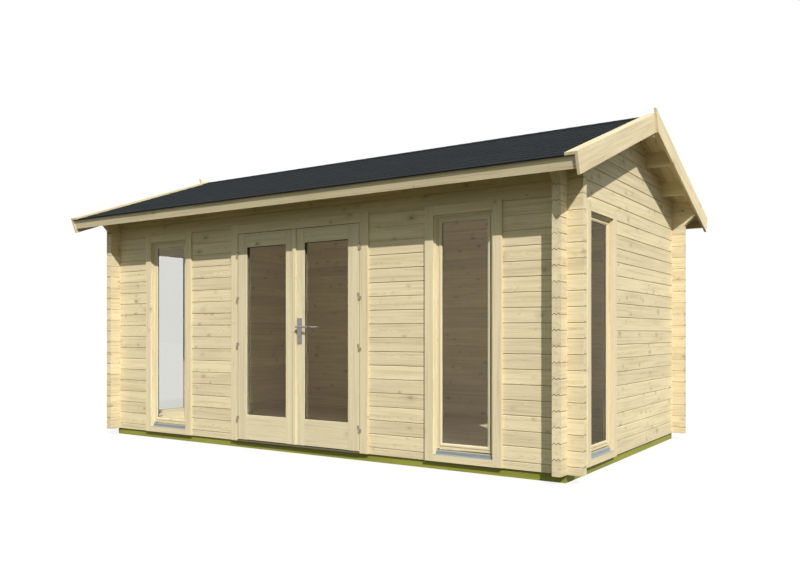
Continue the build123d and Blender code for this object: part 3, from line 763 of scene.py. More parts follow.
    def glass(self, kind: Glass) -> Material:
        """Clear glazing.

        Args:
            kind: Its finish.

        Returns:
            The material.
        """
        material = bpy.data.materials.new(kind.name)
        graph = Graph.cleared(material)
        shader = graph.node("ShaderNodeBsdfPrincipled")
        graph.feed_all(shader, Base_Color=kind.tint, Roughness=0.0, IOR=kind.ior, Transmission_Weight=1.0)
        clear = graph.node("ShaderNodeBsdfTransparent", kind.lamp_tint)
        to_lamp = graph.node("ShaderNodeLightPath").outputs["Is Shadow Ray"]
        graph.node("ShaderNodeOutputMaterial", graph.either(to_lamp, shader, clear).outputs[0])
        return material


# ---- Shapes -----------------------------------------------------------------------------------------


def block(shape: BMesh, low: Sequence[float], high: Sequence[float]) -> list[BMVert]:
    """Adds a square block to a shape.

    Args:
        shape: The shape.
        low: The block's lowest corner.
        high: Its highest corner.

    Returns:
        Its corners.
    """
    low, high = Vector(low), Vector(high)
    corners = bmesh.ops.create_cube(shape, size=1.0)["verts"]
    bmesh.ops.scale(shape, vec=high - low, verts=corners)
    bmesh.ops.translate(shape, vec=(low + high) / 2, verts=corners)
    return corners


def bar(shape: BMesh, outline: Outline, run: tuple[float, float]) -> tuple[list[BMVert], list[BMVert]]:
    """Adds a bar of any section to a shape, drawn across Y and Z and run along X.

    Args:
        shape: The shape.
        outline: The section's corners, in order.
        run: Where it starts and ends.

    Returns:
        Its corners at the start, and those at the end.
    """
    start = [shape.verts.new((run[0], y, z)) for y, z in outline]
    grown = bmesh.ops.extrude_face_region(shape, geom=[shape.faces.new(start)])
    end = [item for item in grown["geom"] if isinstance(item, BMVert)]
    bmesh.ops.translate(shape, vec=(run[1] - run[0], 0.0, 0.0), verts=end)
    return start, end


def upright(side: int, edge: float) -> Matrix:
    """Axes of a standing board: X up it, Y inwards from its outer edge and Z into the wall."""
    return Matrix(((0, -side, 0, edge), (0, 0, 1, 0), (1, 0, 0, 0), (0, 0, 0, 1)))


def level(side: int, edge: float) -> Matrix:
    """Axes of a level board: X along it, Y inwards from its outer edge and Z into the wall."""
    return Matrix(((1, 0, 0, 0), (0, 0, 1, 0), (0, -side, 0, edge), (0, 0, 0, 1)))


def settle(
    name: str, shape: BMesh, material: Material, body: str, stands_for: Iterable[str] = ()
) -> None:
    """Turns a finished shape into a piece that rides on a body.

    Args:
        name: The piece's name.
        shape: Its mesh, in the cabin's axes. It is freed here.
        material: Its finish.
        body: The body that carries it.
        stands_for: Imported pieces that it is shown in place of.
    """
    mesh = bpy.data.meshes.new(name)
    shape.to_mesh(mesh)
    shape.free()
    mesh.materials.append(material)
    piece = bpy.data.objects.new(name, mesh)
    bpy.context.scene.collection.objects.link(piece)
    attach(piece, body)
    nodes = list(stands_for)
    if nodes:
        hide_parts(*nodes)
    LOG.info("%s: %d faces on %s", name, len(mesh.polygons), body)


class Joinery:
    """Collects separate boards into one mesh, each with its own stretch of grain."""

    def __init__(self, name: str, seed: int) -> None:
        """Starts an empty piece.

        Args:
            name: The piece's name.
            seed: Start of its random draws.
        """
        self.name = name
        self.draw = random.Random(SEED * 1000 + seed)
        self.shape = bmesh.new()
        self._layers(self.shape)

    @staticmethod
    def _layers(shape: BMesh) -> tuple[object, object]:
        """Room on a shape's corners for the grain and the seed."""
        layers = shape.verts.layers
        return layers.float_vector.new("grain"), layers.float.new("seed")

    def _take(self, part: BMesh, along: Axis, place: Matrix | None) -> None:
        """Marks a board's grain, puts it in its place and adds it to the piece.

        Args:
            part: The board, in its own axes. It is freed here.
            along: The way its grain runs there.
            place: Its own axes in the cabin's, where they differ.
        """
        grain, seed = self._layers(part)
        number = self.draw.uniform(0.0, 500.0)
        order = [along.value, *(axis.value for axis in Axis if axis is not along)]
        low = [min(vert.co[k] for vert in part.verts) for k in range(3)]
        high = [max(vert.co[k] for vert in part.verts) for k in range(3)]
        middle = [(a + b) / 2 for a, b in zip(low, high)]
        _, wide, thick = (high[k] - low[k] for k in order)
        if wide < thick:
            order[1], order[2] = order[2], order[1]
        for vert in part.verts:
            vert[grain] = [vert.co[k] - middle[k] for k in order]
            vert[seed] = number
        if place:
            part.transform(place)
            if place.determinant() < 0:
                bmesh.ops.reverse_faces(part, faces=part.faces)
        shell = bpy.data.meshes.new("board")
        part.to_mesh(shell)
        part.free()
        self.shape.from_mesh(shell)
        bpy.data.meshes.remove(shell)

    def board(
        self, low: Sequence[float], high: Sequence[float], along: Axis, edge: float = 0.0015,
        place: Matrix | None = None,
    ) -> None:
        """Adds a square-edged board with its arrises eased.

        Args:
            low: Its lowest corner in its own axes.
            high: Its highest corner.
            along: The way its grain runs in its own axes.
            edge: How much its arrises are eased.
            place: Its own axes in the cabin's.
        """
        part = bmesh.new()
        block(part, low, high)
        eased = min(edge, min(Vector(high) - Vector(low)) / 3)
        bmesh.ops.bevel(
            part, geom=part.edges[:], offset=eased, offset_type="OFFSET", segments=2, profile=0.5,
            affect="EDGES", material=-1, clamp_overlap=True)
        self._take(part, along, place)

    def sawn(
        self, low: Sequence[float], high: Sequence[float], along: Axis, cuts: Sequence[tuple[Vector, Vector]]
    ) -> None:
        """Adds a board that is sawn off along planes.

        Args:
            low: Its lowest corner before it is sawn.
            high: Its highest corner before it is sawn.
            along: The way its grain runs.
            cuts: A point on each plane, and the way the waste lies from it.
        """
        part = bmesh.new()
        block(part, low, high)
        for point, waste in cuts:
            everything = [*part.verts, *part.edges, *part.faces]
            cut = bmesh.ops.bisect_plane(
                part, geom=everything, plane_co=point, plane_no=waste, clear_outer=True)
            rim = [item for item in cut["geom_cut"] if isinstance(item, BMEdge)]
            bmesh.ops.contextual_create(part, geom=rim)
        bmesh.ops.recalc_face_normals(part, faces=part.faces)
        self._take(part, along, None)

    def moulding(
        self, outline: Outline, run: tuple[float, float], place: Matrix | None = None, mitre: float = 0.0
    ) -> None:
        """Adds a board of any section, drawn across its own Y and Z and run along its own X.

        Args:
            outline: The section's corners, in order.
            run: Where it starts and ends along X.
            place: Its own axes in the cabin's.
            mitre: How far each end is cut back for each metre along Y.
        """
        part = bmesh.new()
        for end, way in zip(bar(part, outline, run), (1, -1)):
            for vert in end:
                vert.co.x += way * mitre * vert.co.y
        bmesh.ops.recalc_face_normals(part, faces=part.faces)
        self._take(part, Axis.X, place)

    def surround(
        self, outline: Outline, half: float, heights: tuple[float, float], place: Matrix, ratio: float = 1.0
    ) -> None:
        """Adds four mitred boards round an upright opening.

        Args:
            outline: Their section's corners, as (distance inwards from the outer edge, depth).
            half: Half the width over the outer edges.
            heights: Where the lower and the upper outer edges lie.
            place: The opening's axes in the cabin's: X across it, Y into the room and Z up.
            ratio: How much wider the level boards are than the uprights.
        """
        wide = [(inwards * ratio, depth) for inwards, depth in outline]
        for side in (-1, 1):
            self.moulding(outline, heights, place @ upright(side, side * half), ratio)
            self.moulding(wide, (-half, half), place @ level(side, heights[side > 0]), 1.0 / ratio)

    def settle(self, material: Material, body: str, slot: Slot, *stands_for: str) -> None:
        """Makes the collected boards one piece that rides on a body."""
        settle(self.name, self.shape, material, body, stands_for)


# ---- The cabin --------------------------------------------------------------------------------------


@dataclass
class LogWall:
    """One wall of stacked logs."""

    node: str
    number: int
    along: Axis
    middle: float
    first_joint: float
    course: float
    groove_depth: float = 0.0292  # from the wall's middle to the bottom of its grooves
    eave_shade: float = 9.0  # height above which its joint lines are painted paler, as shade under the eaves


@dataclass
class Walls:
    """The log walls, the joints that show on the logs' ends and the logs under the eaves."""

    course: float = 0.114
    thickness: float = 0.068
    half_run: float = 0.029  # of a joint, inside the grooves of a log's two faces
    tongue_middle: float = 0.0155
    tongue_foot: float = 0.0100
    tongue_top: float = 0.0050
    tongue_height: float = 0.0088
    joint_width: float = 0.0054
    joint_proud: float = 0.0004
    long_stack: float = 2.25  # from the walls' foot to over the top joint of the front and the back
    cross_stack: float = 2.06  # and of the gable walls
    corbel_foot: float = 2.084  # from the wall's foot to where the top logs start to run on, at 45 degrees
    roof_pitch: float = math.radians(20.2)
    ease: float = 0.002  # between the top logs and what lies on them or closes them
    eave_shade: float = 1.70  # height where the eaves' shadow starts on the front, above which its joint lines are painted paler

    def __post_init__(self) -> None:
        """Reads where the walls stand."""
        low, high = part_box("back_wall")
        self.back_inside = low.y
        self.base = low.z
        self.back_middle = high.y - self.thickness / 2
        self.log_end_x = high.x
        self.wall_top = high.z
        side_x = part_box("right_wall")[1].x
        self.side_middle = side_x - self.thickness / 2
        self.front_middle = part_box("front_wall_over_door")[0].y + self.thickness / 2
        self.log_end_y = self.back_middle + self.thickness / 2 + (high.x - side_x)

    def dress(self, shop: Workshop) -> None:
        """Gives the walls their wood.

        Args:
            shop: Makes the finishes.
        """
        half = self.base + self.course / 2 - self.course
        for node in ("front_wall_left", "front_wall_right", "front_wall_over_door"):
            shop.stack(LogWall(node, 1, Axis.X, self.front_middle, half, self.course, eave_shade=self.eave_shade))
        shop.stack(LogWall("back_wall", 2, Axis.X, self.back_middle, half, self.course))
        shop.stack(LogWall("left_wall", 3, Axis.Y, -self.side_middle, self.base, self.course))
        shop.stack(LogWall("right_wall", 4, Axis.Y, self.side_middle, self.base, self.course))

    def _joint(self) -> Outline:
        """One joint line with two tongues, as it shows on a log's end."""
        steps = [(-self.half_run, 0.0)]
        for middle in (-self.tongue_middle, self.tongue_middle):
            steps += [
                (middle - self.tongue_foot, 0.0), (middle - self.tongue_top, self.tongue_height),
                (middle + self.tongue_top, self.tongue_height), (middle + self.tongue_foot, 0.0),
            ]
        steps.append((self.half_run, 0.0))
        half = self.joint_width / 2
        return [(x, z - half) for x, z in steps] + [(x, z + half) for x, z in reversed(steps)]

    def _stack(self, shape: BMesh, out: Vector, at: tuple[float, float], first: float, top: float) -> None:
        """Draws the joints on one stack of log ends.

        Args:
            shape: Takes them.
            out: The way the log ends face.
            at: Where their middle lies in plan.
            first: Height of the first joint over the walls' foot.
            top: Height that they end below.
        """
        turn = Matrix((out, UP.cross(out), UP)).transposed().to_4x4()
        z = self.base + first
        while z < self.base + top:
            start, end = bar(shape, self._joint(), (0.0, self.joint_proud))
            bmesh.ops.transform(shape, matrix=Matrix.Translation((*at, z)) @ turn, verts=start + end)
            z += self.course

    def end_joints(self, shop: Workshop) -> None:
        """Draws the tongued joints on every log end round the four corners.

        Args:
            shop: Makes the finishes.
        """
        shape = bmesh.new()
        for x_side, y_side in product((-1, 1), repeat=2):
            middle_y = self.back_middle if y_side > 0 else self.front_middle
            at = (x_side * self.log_end_x, middle_y)
            self._stack(shape, Vector((x_side, 0.0, 0.0)), at, self.course / 2, self.long_stack)
            at = (x_side * self.side_middle, y_side * self.log_end_y)
            self._stack(shape, Vector((0.0, y_side, 0.0)), at, self.course, self.cross_stack)
        bmesh.ops.recalc_face_normals(shape, faces=shape.faces)
        settle("log_end_joints", shape, shop.joint_gap(JointGap(), self.eave_shade), CABIN)

    def eaves_logs(self, shop: Workshop) -> None:
        """Runs the back wall's top logs on under the roof, as far as the barge boards.

        Args:
            shop: Makes the finishes.
        """
        logs = Joinery("back_eaves_log_ends", 31)
        foot, top = self.base + self.corbel_foot, self.wall_top - self.ease
        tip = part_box("back_roof_boards")[1].x - self.ease
        roof = Vector((0.0, math.sin(self.roof_pitch), math.cos(self.roof_pitch)))
        under_roof = (Vector((0.0, self.back_inside, top)), roof)
        for side in (-1, 1):
            start, end = sorted((side * self.log_end_x, side * tip))
            corbel = (Vector((side * self.log_end_x, 0.0, foot)), Vector((side, 0.0, -1.0)))
            logs.sawn(
                (start, self.back_inside, foot), (end, self.back_inside + self.thickness, top), Axis.X,
                [under_roof, corbel])
        logs.settle(shop.jointed("eaves_log_spruce", LOG_WOOD), CABIN, Slot.LOGS)


@dataclass
class Base:
    """The treated beams and joists, and the floor on them."""

    beam_width: float = 0.070
    joist_width: float = 0.050
    joists: int = 7
    board_width: float = 0.0888
    board_gap: float = 0.0006
    board_edge: float = 0.0012

    def dress(self, shop: Workshop) -> None:
        """Gives the beams their treated wood, with the grain along each one.

        Args:
            shop: Makes the finishes.
        """
        quarter = Matrix.Rotation(-math.pi / 2, 3, "Z")
        shop.timbers("foundation_long_beams", TREATED_WOOD, EVEN, Axis.Y, 2, self.beam_width)
        shop.timbers("foundation_end_beams", TREATED_WOOD, quarter, Axis.X, 2, self.beam_width)
        shop.timbers("floor_joists", TREATED_WOOD, quarter, Axis.X, self.joists, self.joist_width)

    def boards(self, shop: Workshop) -> None:
        """Lays the floor as separate boards from one gable wall to the other.

        Args:
            shop: Makes the finishes.
        """
        low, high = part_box("floor_boards")
        count = round((high.y - low.y) / self.board_width)
        pitch, gap = (high.y - low.y) / count, self.board_gap / 2
        floor = Joinery("floor_boarding", 1)
        for number in range(count):
            start = low.y + number * pitch
            floor.board(
                (low.x, start + gap, low.z), (high.x, start + pitch - gap, high.z), Axis.X, self.board_edge)
        floor.settle(shop.jointed("floor_spruce", FLOOR_WOOD), CABIN, Slot.FLOOR, "floor_boards")


@dataclass
class Roof:
    """The roof's boards, shingles and trim."""

    pitch: float = math.radians(20.2)
    board: float = 0.019
    roofing: float = 0.005
    board_width: float = 0.0885
    board_gap: float = 0.0003  # at each side of a board
    chamfer: float = 0.003
    cap_width: float = 0.072
    trim_thickness: float = 0.020
    purlin_width: float = 0.068
    shingle_width: float = 0.333
    exposure: float = 0.143
    head_lap: float = 0.03
    thickness: float = 0.0024
    slot_width: float = 0.007
    uneven: float = 0.0015  # how far a shingle's foot strays
    least: float = 0.02  # of a shingle that is worth cutting
    verge_gap: float = 0.001
    tones: tuple[float, float] = (0.94, 1.06)
    ridge_width: float = 0.125
    ridge_lap: float = 0.012
    ridge_step: float = 0.0012
    trimmed: float = 0.011  # off the foot of the sheet, so that the sun reaches the fascia

    def __post_init__(self) -> None:
        """Reads where the roof lies."""
        self.cos, self.sin = math.cos(self.pitch), math.sin(self.pitch)
        low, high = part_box("front_roof_boards")
        self.ridge_top = high.z
        self.slope_length = -low.y / self.cos
        sheet_low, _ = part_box("front_roofing")
        self.sheet_length = (-sheet_low.y - self.roofing * self.sin) / self.cos - self.trimmed
        self.sides = (("front", -1), ("back", 1))
        self.caps = {name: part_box(f"{name}_verge_caps")[1].x - self.cap_width for name, _ in self.sides}

    def slope(self, side: int) -> Matrix:
        """Axes of a slope: Y runs down it from the ridge, and Z stands off the boards' top.

        Args:
            side: -1 for the front slope and 1 for the back one.

        Returns:
            The placement.
        """
        turn = Matrix(((side, 0.0, 0.0), (0.0, side * self.cos, side * self.sin), (0.0, -self.sin, self.cos)))
        return Matrix.Translation((0.0, 0.0, self.ridge_top)) @ turn.to_4x4()

    def boarding(self, shop: Workshop) -> None:
        """Lays each slope's boards side by side, from the ridge to the eaves.

        Args:
            shop: Makes the finishes.
        """
        wood = shop.jointed("roof_spruce", LOG_WOOD)
        top_end = self.board * math.tan(self.pitch)
        # A board is drawn with its own X down the slope.
        down = Matrix(((0, 1, 0, 0), (1, 0, 0, 0), (0, 0, 1, 0), (0, 0, 0, 1)))
        foot, edge = -self.board, self.chamfer - self.board
        for name, side in self.sides:
            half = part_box(f"{name}_roof_boards")[1].x
            boarding = Joinery(f"{name}_roof_boarding", 10 + side)
            count = round(2 * half / self.board_width)
            width = 2 * half / count
            for number in range(count):
                start = -half + number * width
                low, high = start + self.board_gap, start + width - self.board_gap
                outline = [
                    (low, 0.0), (low, edge), (low + self.chamfer, foot), (high - self.chamfer, foot),
                    (high, edge), (high, 0.0),
                ]
                boarding.moulding(outline, (top_end, self.slope_length), self.slope(side) @ down)
            boarding.settle(wood, CABIN, Slot.ROOF_BOARDS, f"{name}_roof_boards")

    def shingles(self, shop: Workshop) -> None:
        """Lays the shingles in courses up each slope, and caps the ridge with them.

        Args:
            shop: Makes the finishes.
        """
        finish, felt = shop.bitumen(SHINGLES), shop.bitumen(FELT)
        draw = random.Random(SEED)
        gap = self.slot_width / 2
        for name, side in self.sides:
            self._felt(name, side, felt)
            shape = bmesh.new()
            tone = shape.verts.layers.float.new("tone")
            half = self.caps[name]
            for row in range(math.ceil(self.sheet_length / self.exposure)):
                foot = self.sheet_length - row * self.exposure
                head = max(foot - self.exposure - self.head_lap, 0.002)
                start = -half - (row % 2) * self.shingle_width / 2
                while start < half:
                    low = max(start + gap, self.verge_gap - half)
                    high = min(start + self.shingle_width - gap, half - self.verge_gap)
                    start += self.shingle_width
                    if high - low >= self.least:
                        uneven = draw.uniform(-self.uneven, self.uneven)
                        self._tab(shape, (low, high), (head, foot + uneven), tone, draw.uniform(*self.tones))
            bmesh.ops.recalc_face_normals(shape, faces=shape.faces)
            shape.transform(self.slope(side))
            settle(f"{name}_shingles", shape, finish, CABIN)
        self._ridge(finish, draw)

    def _felt(self, name: str, side: int, felt: Material) -> None:
        """Lays the sheet under the shingles of one slope, from the ridge to their foot.

        Args:
            name: The slope's name.
            side: -1 for the front slope and 1 for the back one.
            felt: Its finish.
        """
        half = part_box(f"{name}_roofing")[1].x
        shape = bmesh.new()
        block(shape, (-half, 0.0, 0.0), (half, self.sheet_length, self.roofing))
        shape.transform(self.slope(side))
        settle(f"{name}_felt", shape, felt, CABIN, [f"{name}_roofing"])

    def _tab(
        self, shape: BMesh, across: tuple[float, float], down: tuple[float, float], layer: object, tone: float
    ) -> None:
        """Adds one shingle, which lies on the course below and rises a little towards its foot.

        Args:
            shape: Takes it, in the slope's axes.
            across: Where it starts and ends across the slope.
            down: Where its head and its foot lie down the slope.
            layer: Where its tone is kept.
            tone: Its tone.
        """
        (head, foot), bed, thick = down, self.roofing, self.thickness
        outline = [(head, bed), (foot, bed + thick), (foot, bed + 2 * thick), (head, bed + 0.9 * thick)]
        for end in bar(shape, outline, across):
            for vert in end:
                vert[layer] = tone

    def _ridge(self, finish: Material, draw: random.Random) -> None:
        """Caps the ridge with folded shingles, each stepping down to the next.

        Args:
            finish: Their finish.
            draw: The roof's random draws.
        """
        shape = bmesh.new()
        layer = shape.verts.layers.float.new("tone")
        half = min(self.caps.values()) - 2 * self.verge_gap
        count = math.ceil(2 * half / self.exposure)
        pitch = 2 * half / count
        top = self.ridge_top + (self.roofing + 2.2 * self.thickness) / self.cos
        foot, low = self.ridge_width * self.cos, top - self.ridge_width * self.sin
        under = [(-foot, low), (0.0, top), (foot, low)]
        outline = under + [(y, z + self.thickness) for y, z in reversed(under)]
        for number in range(count):
            start_x = -half + number * pitch
            start, end = bar(shape, outline, (start_x, min(start_x + pitch + self.ridge_lap, half)))
            bmesh.ops.translate(shape, vec=(0.0, 0.0, self.ridge_step), verts=start)
            tone = draw.uniform(*self.tones)
            for vert in start + end:
                vert[layer] = tone
        bmesh.ops.recalc_face_normals(shape, faces=shape.faces)
        settle("ridge_shingles", shape, finish, CABIN)

    def trim(self, shop: Workshop) -> None:
        """Gives the barge boards, caps, fascias and purlins their wood, with the grain along each one.

        Args:
            shop: Makes the finishes.
        """
        for name, side in self.sides:
            _, down, off = self.slope(side).to_3x3().col
            sloping = Matrix((down, off, (side, 0.0, 0.0)))
            shop.timbers(f"{name}_barge_boards", TRIM_WOOD, sloping, Axis.X, 2, self.trim_thickness)
            shop.timbers(f"{name}_verge_caps", TRIM_WOOD, sloping, Axis.X, 2, self.cap_width)
            shop.timbers(f"{name}_fascia", TRIM_WOOD, Matrix(((-side, 0.0, 0.0), off, down)))
            shop.timbers(f"{name}_purlins", LOG_WOOD, EVEN, Axis.Y, 2, self.purlin_width)
        shop.timbers("ridge_purlin", LOG_WOOD, EVEN)


@dataclass
class Windows:
    """The four tall fixed windows, all alike. Each is drawn with X across it, Y into the room and Z up."""

    width: float = 0.520
    casing: float = 0.078
    casing_depth: float = 0.020
    wall: float = 0.068
    lining: float = 0.020
    lining_edge: float = 0.001
    sill_front: float = 0.054
    sill_back: float = 0.087
    top: float = 1.934
    step: float = 0.013  # of the lining, past the casing's inner edge
    sash_front: float = 0.016
    sash_back: float = 0.040
    sash_ease: float = 0.0012
    stile: float = 0.0608  # from the casing's inner edge to the glass
    rail: float = 0.058
    lip: float = 0.0147
    groove: float = 0.0083
    groove_depth: float = 0.007
    tuck: tuple[float, float] = (0.002, 0.004)  # of the groove's bottom: under its sides, off the back
    slope: float = 0.0116
    slope_depth: float = 0.007
    pane_front: float = 0.0255
    pane: float = 0.008
    pane_edge: float = 0.0003
    bite: float = 0.012
    seam: float = 0.0022  # from the sash's inner edge to the rubber's bed
    seam_top: tuple[float, float] = (0.0008, 0.0010)  # depth of the bed and of the rubber, past the slope
    edge: float = 0.0022
    sill_gaps: tuple[float, float] = (0.0006, 0.0005)  # at its ends and under the sash
    upstand: float = 0.007
    ribs: int = 3
    first_rib: float = 0.008
    rib: float = 0.0036
    rib_proud: float = 0.0044
    rib_edge: float = 0.0010
    apron: Outline = ((0.0, 0.0062), (-0.004, 0.0052))  # its back corners, off the upstand's foot
    drip: Outline = ((0.0030, 0.0022), (0.0020, 0.0034), (0.0, 0.0034))  # its front ones, off its nose

    def __post_init__(self) -> None:
        """Reads where the windows stand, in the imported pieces' groups."""
        self.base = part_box("back_wall")[0].z
        self.half = self.width / 2
        self.outer = self.half + self.casing
        self.ratio = self.rail / self.stile
        self.held = self.stile - self.bite
        wall_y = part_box("front_wall_over_door")[0].y
        front_x = -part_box("front_window_casings")[0].x - self.outer
        side_low, side_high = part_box("side_window_casings")
        side_y = (side_low.y + side_high.y) / 2
        side_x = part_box("right_wall")[1].x
        self.places = {
            "front": [self._stand((x, wall_y), (1, 0), (0, 1)) for x in (-front_x, front_x)],
            "side": [self._stand((side * side_x, side_y), (0, side), (-side, 0)) for side in (-1, 1)],
        }

    def _stand(self, at: tuple[float, float], across: tuple[int, int], into: tuple[int, int]) -> Matrix:
        """Placement of a window on the foot of its wall."""
        turn = Matrix(((across[0], into[0], 0.0), (across[1], into[1], 0.0), (0.0, 0.0, 1.0)))
        return Matrix.Translation((*at, self.base)) @ turn.to_4x4()

    def build(self, shop: Workshop) -> None:
        """Makes every window's woodwork, seals, sill and panes.

        Args:
            shop: Makes the finishes.
        """
        trim = shop.jointed("casing_spruce", TRIM_WOOD)
        wood = shop.jointed("sash_spruce", JOINERY_WOOD)
        glazing = {name: shop.glass(kind) for name, kind in WINDOW_GLASS.items()}
        rubber, paint = shop.coated(RUBBER), shop.coated(SILL_PAINT)
        for index, (name, places) in enumerate(self.places.items()):
            casings = Joinery(f"{name}_casing_boards", 30 + index)
            frames = Joinery(f"{name}_window_joinery", 40 + index)
            seals = Joinery(f"{name}_window_seals", 50 + index)
            sills = Joinery(f"{name}_drip_sills", 55 + index)
            panes = Joinery(f"{name}_window_panes", 57 + index)
            for place in places:
                self._casing(casings, place)
                self._lining(frames, place)
                self._sash(frames, seals, place)
                self._sill(sills, place)
                self._pane(panes, place)
            casings.settle(trim, CABIN, Slot.TRIM, f"{name}_window_casings")
            frames.settle(wood, CABIN, Slot.JOINERY, f"{name}_window_frames")
            seals.settle(rubber, CABIN, Slot.GLAZING)
            sills.settle(paint, CABIN, Slot.SILLS, f"{name}_window_sills")
            panes.settle(glazing[name], CABIN, Slot.GLAZING, f"{name}_window_glass")

    def _pane(self, panes: Joinery, place: Matrix) -> None:
        """Adds a pane, held in the grooves of its sash.

        Args:
            panes: Takes it.
            place: The window's placement.
        """
        half, rise = self.half - self.held, self.held * self.ratio
        panes.board(
            (-half, self.pane_front, self.sill_back + rise),
            (half, self.pane_front + self.pane, self.top - rise), Axis.Z, self.pane_edge, place)

    def _casing(self, boards: Joinery, place: Matrix) -> None:
        """Adds two uprights and two boards between them, on the wall's outer face.

        Args:
            boards: Takes them.
            place: The window's placement.
        """
        half, face, top = self.half, -self.casing_depth, self.top + self.casing
        for low, high in ((-self.outer, -half), (half, self.outer)):
            boards.board((low, face, 0.0), (high, 0.0, top), Axis.Z, self.edge, place)
        for low, high in ((self.top, top), (0.0, self.sill_front)):
            boards.board((-half, face, low), (half, 0.0, high), Axis.X, self.edge, place)

    def _lining(self, boards: Joinery, place: Matrix) -> None:
        """Adds boards that line the opening in the wall and show a narrow step inside the casing.

        Args:
            boards: Takes them.
            place: The window's placement.
        """
        half, outer = self.half - self.step, self.half + self.lining
        foot, top = self.sill_front - self.lining, self.top + self.lining
        for low, high in ((-outer, -half), (half, outer)):
            boards.board((low, 0.0, foot), (high, self.wall, top), Axis.Z, self.lining_edge, place)
        head = self.top - self.step * self.ratio
        for face, low, high in (
            (0.0, head, top), (0.0, foot, self.sill_front),
            (self.sash_front, self.sill_front, self.sill_back),
        ):
            boards.board((-half, face, low), (half, self.wall, high), Axis.X, self.lining_edge, place)

    def _sash(self, boards: Joinery, seals: Joinery, place: Matrix) -> None:
        """Adds the fixed sash: a flat outer frame, and inside it one that slopes back to the glass.

        Args:
            boards: Takes the wood.
            seals: Takes the rubber at the glass.
            place: The window's placement.
        """
        heights, ease = (self.sill_back, self.top), self.sash_ease
        front, back = self.sash_front, self.sash_back
        near, far = self.pane_front, self.pane_front + self.pane
        lip, deep = self.step + self.lip, front + self.slope_depth
        inner, bed = lip + self.groove, self.stile - self.seam
        outer_frame = [
            (self.step, back), (self.step, front), (lip - ease, front), (lip, front + ease), (lip, back),
        ]
        inner_frame = [
            (inner, back), (inner, front + ease), (inner + ease, front), (self.stile - self.slope, front),
            (self.stile, deep), (bed, deep + self.seam_top[0]), (bed, near), (self.held, near),
            (self.held, far), (bed, far), (bed, back - ease), (bed - ease, back),
        ]
        # A strip at the bottom of the groove between the two frames, so that no daylight shows through it.
        bottom, (under, short) = front + self.groove_depth, self.tuck
        tongue = [
            (lip - under, back - short), (lip - under, bottom), (inner + under, bottom),
            (inner + under, back - short),
        ]
        for outline in (outer_frame, inner_frame, tongue):
            boards.surround(outline, self.half, heights, place, self.ratio)
        for start, end in ((deep + self.seam_top[1], near - SLACK), (far + SLACK, back - ease)):
            low, high = bed + SLACK, self.stile - SLACK
            seal = [(low, end), (low, start), (high, start), (high, end)]
            seals.surround(seal, self.half, heights, place, self.ratio)

    def _sill(self, sills: Joinery, place: Matrix) -> None:
        """Adds a drip sill: a ribbed upstand against the sash and an apron over the casing.

        Args:
            sills: Takes it.
            place: The window's placement.
        """
        foot, crest = self.sill_front, self.sill_back - self.sill_gaps[1]
        face, back, nose = self.sash_front - self.upstand, self.sash_front, -self.casing_depth
        outline = [(nose, foot), (back, foot), (back, crest), (face, crest)]
        start, proud = foot + self.first_rib, face - self.rib_proud
        pitch = (crest - start - self.rib_edge) / self.ribs
        for number in reversed(range(self.ribs)):
            low = start + number * pitch + (pitch - self.rib) / 2
            high = low + self.rib
            outline += [
                (face, high), (proud, high - self.rib_edge), (proud, low + self.rib_edge), (face, low)]
        outline += [(face + out, foot + rise) for out, rise in self.apron]
        outline += [(nose + out, foot + rise) for out, rise in self.drip]
        half = self.half - self.sill_gaps[0]
        sills.moulding(outline, (-half, half), place)


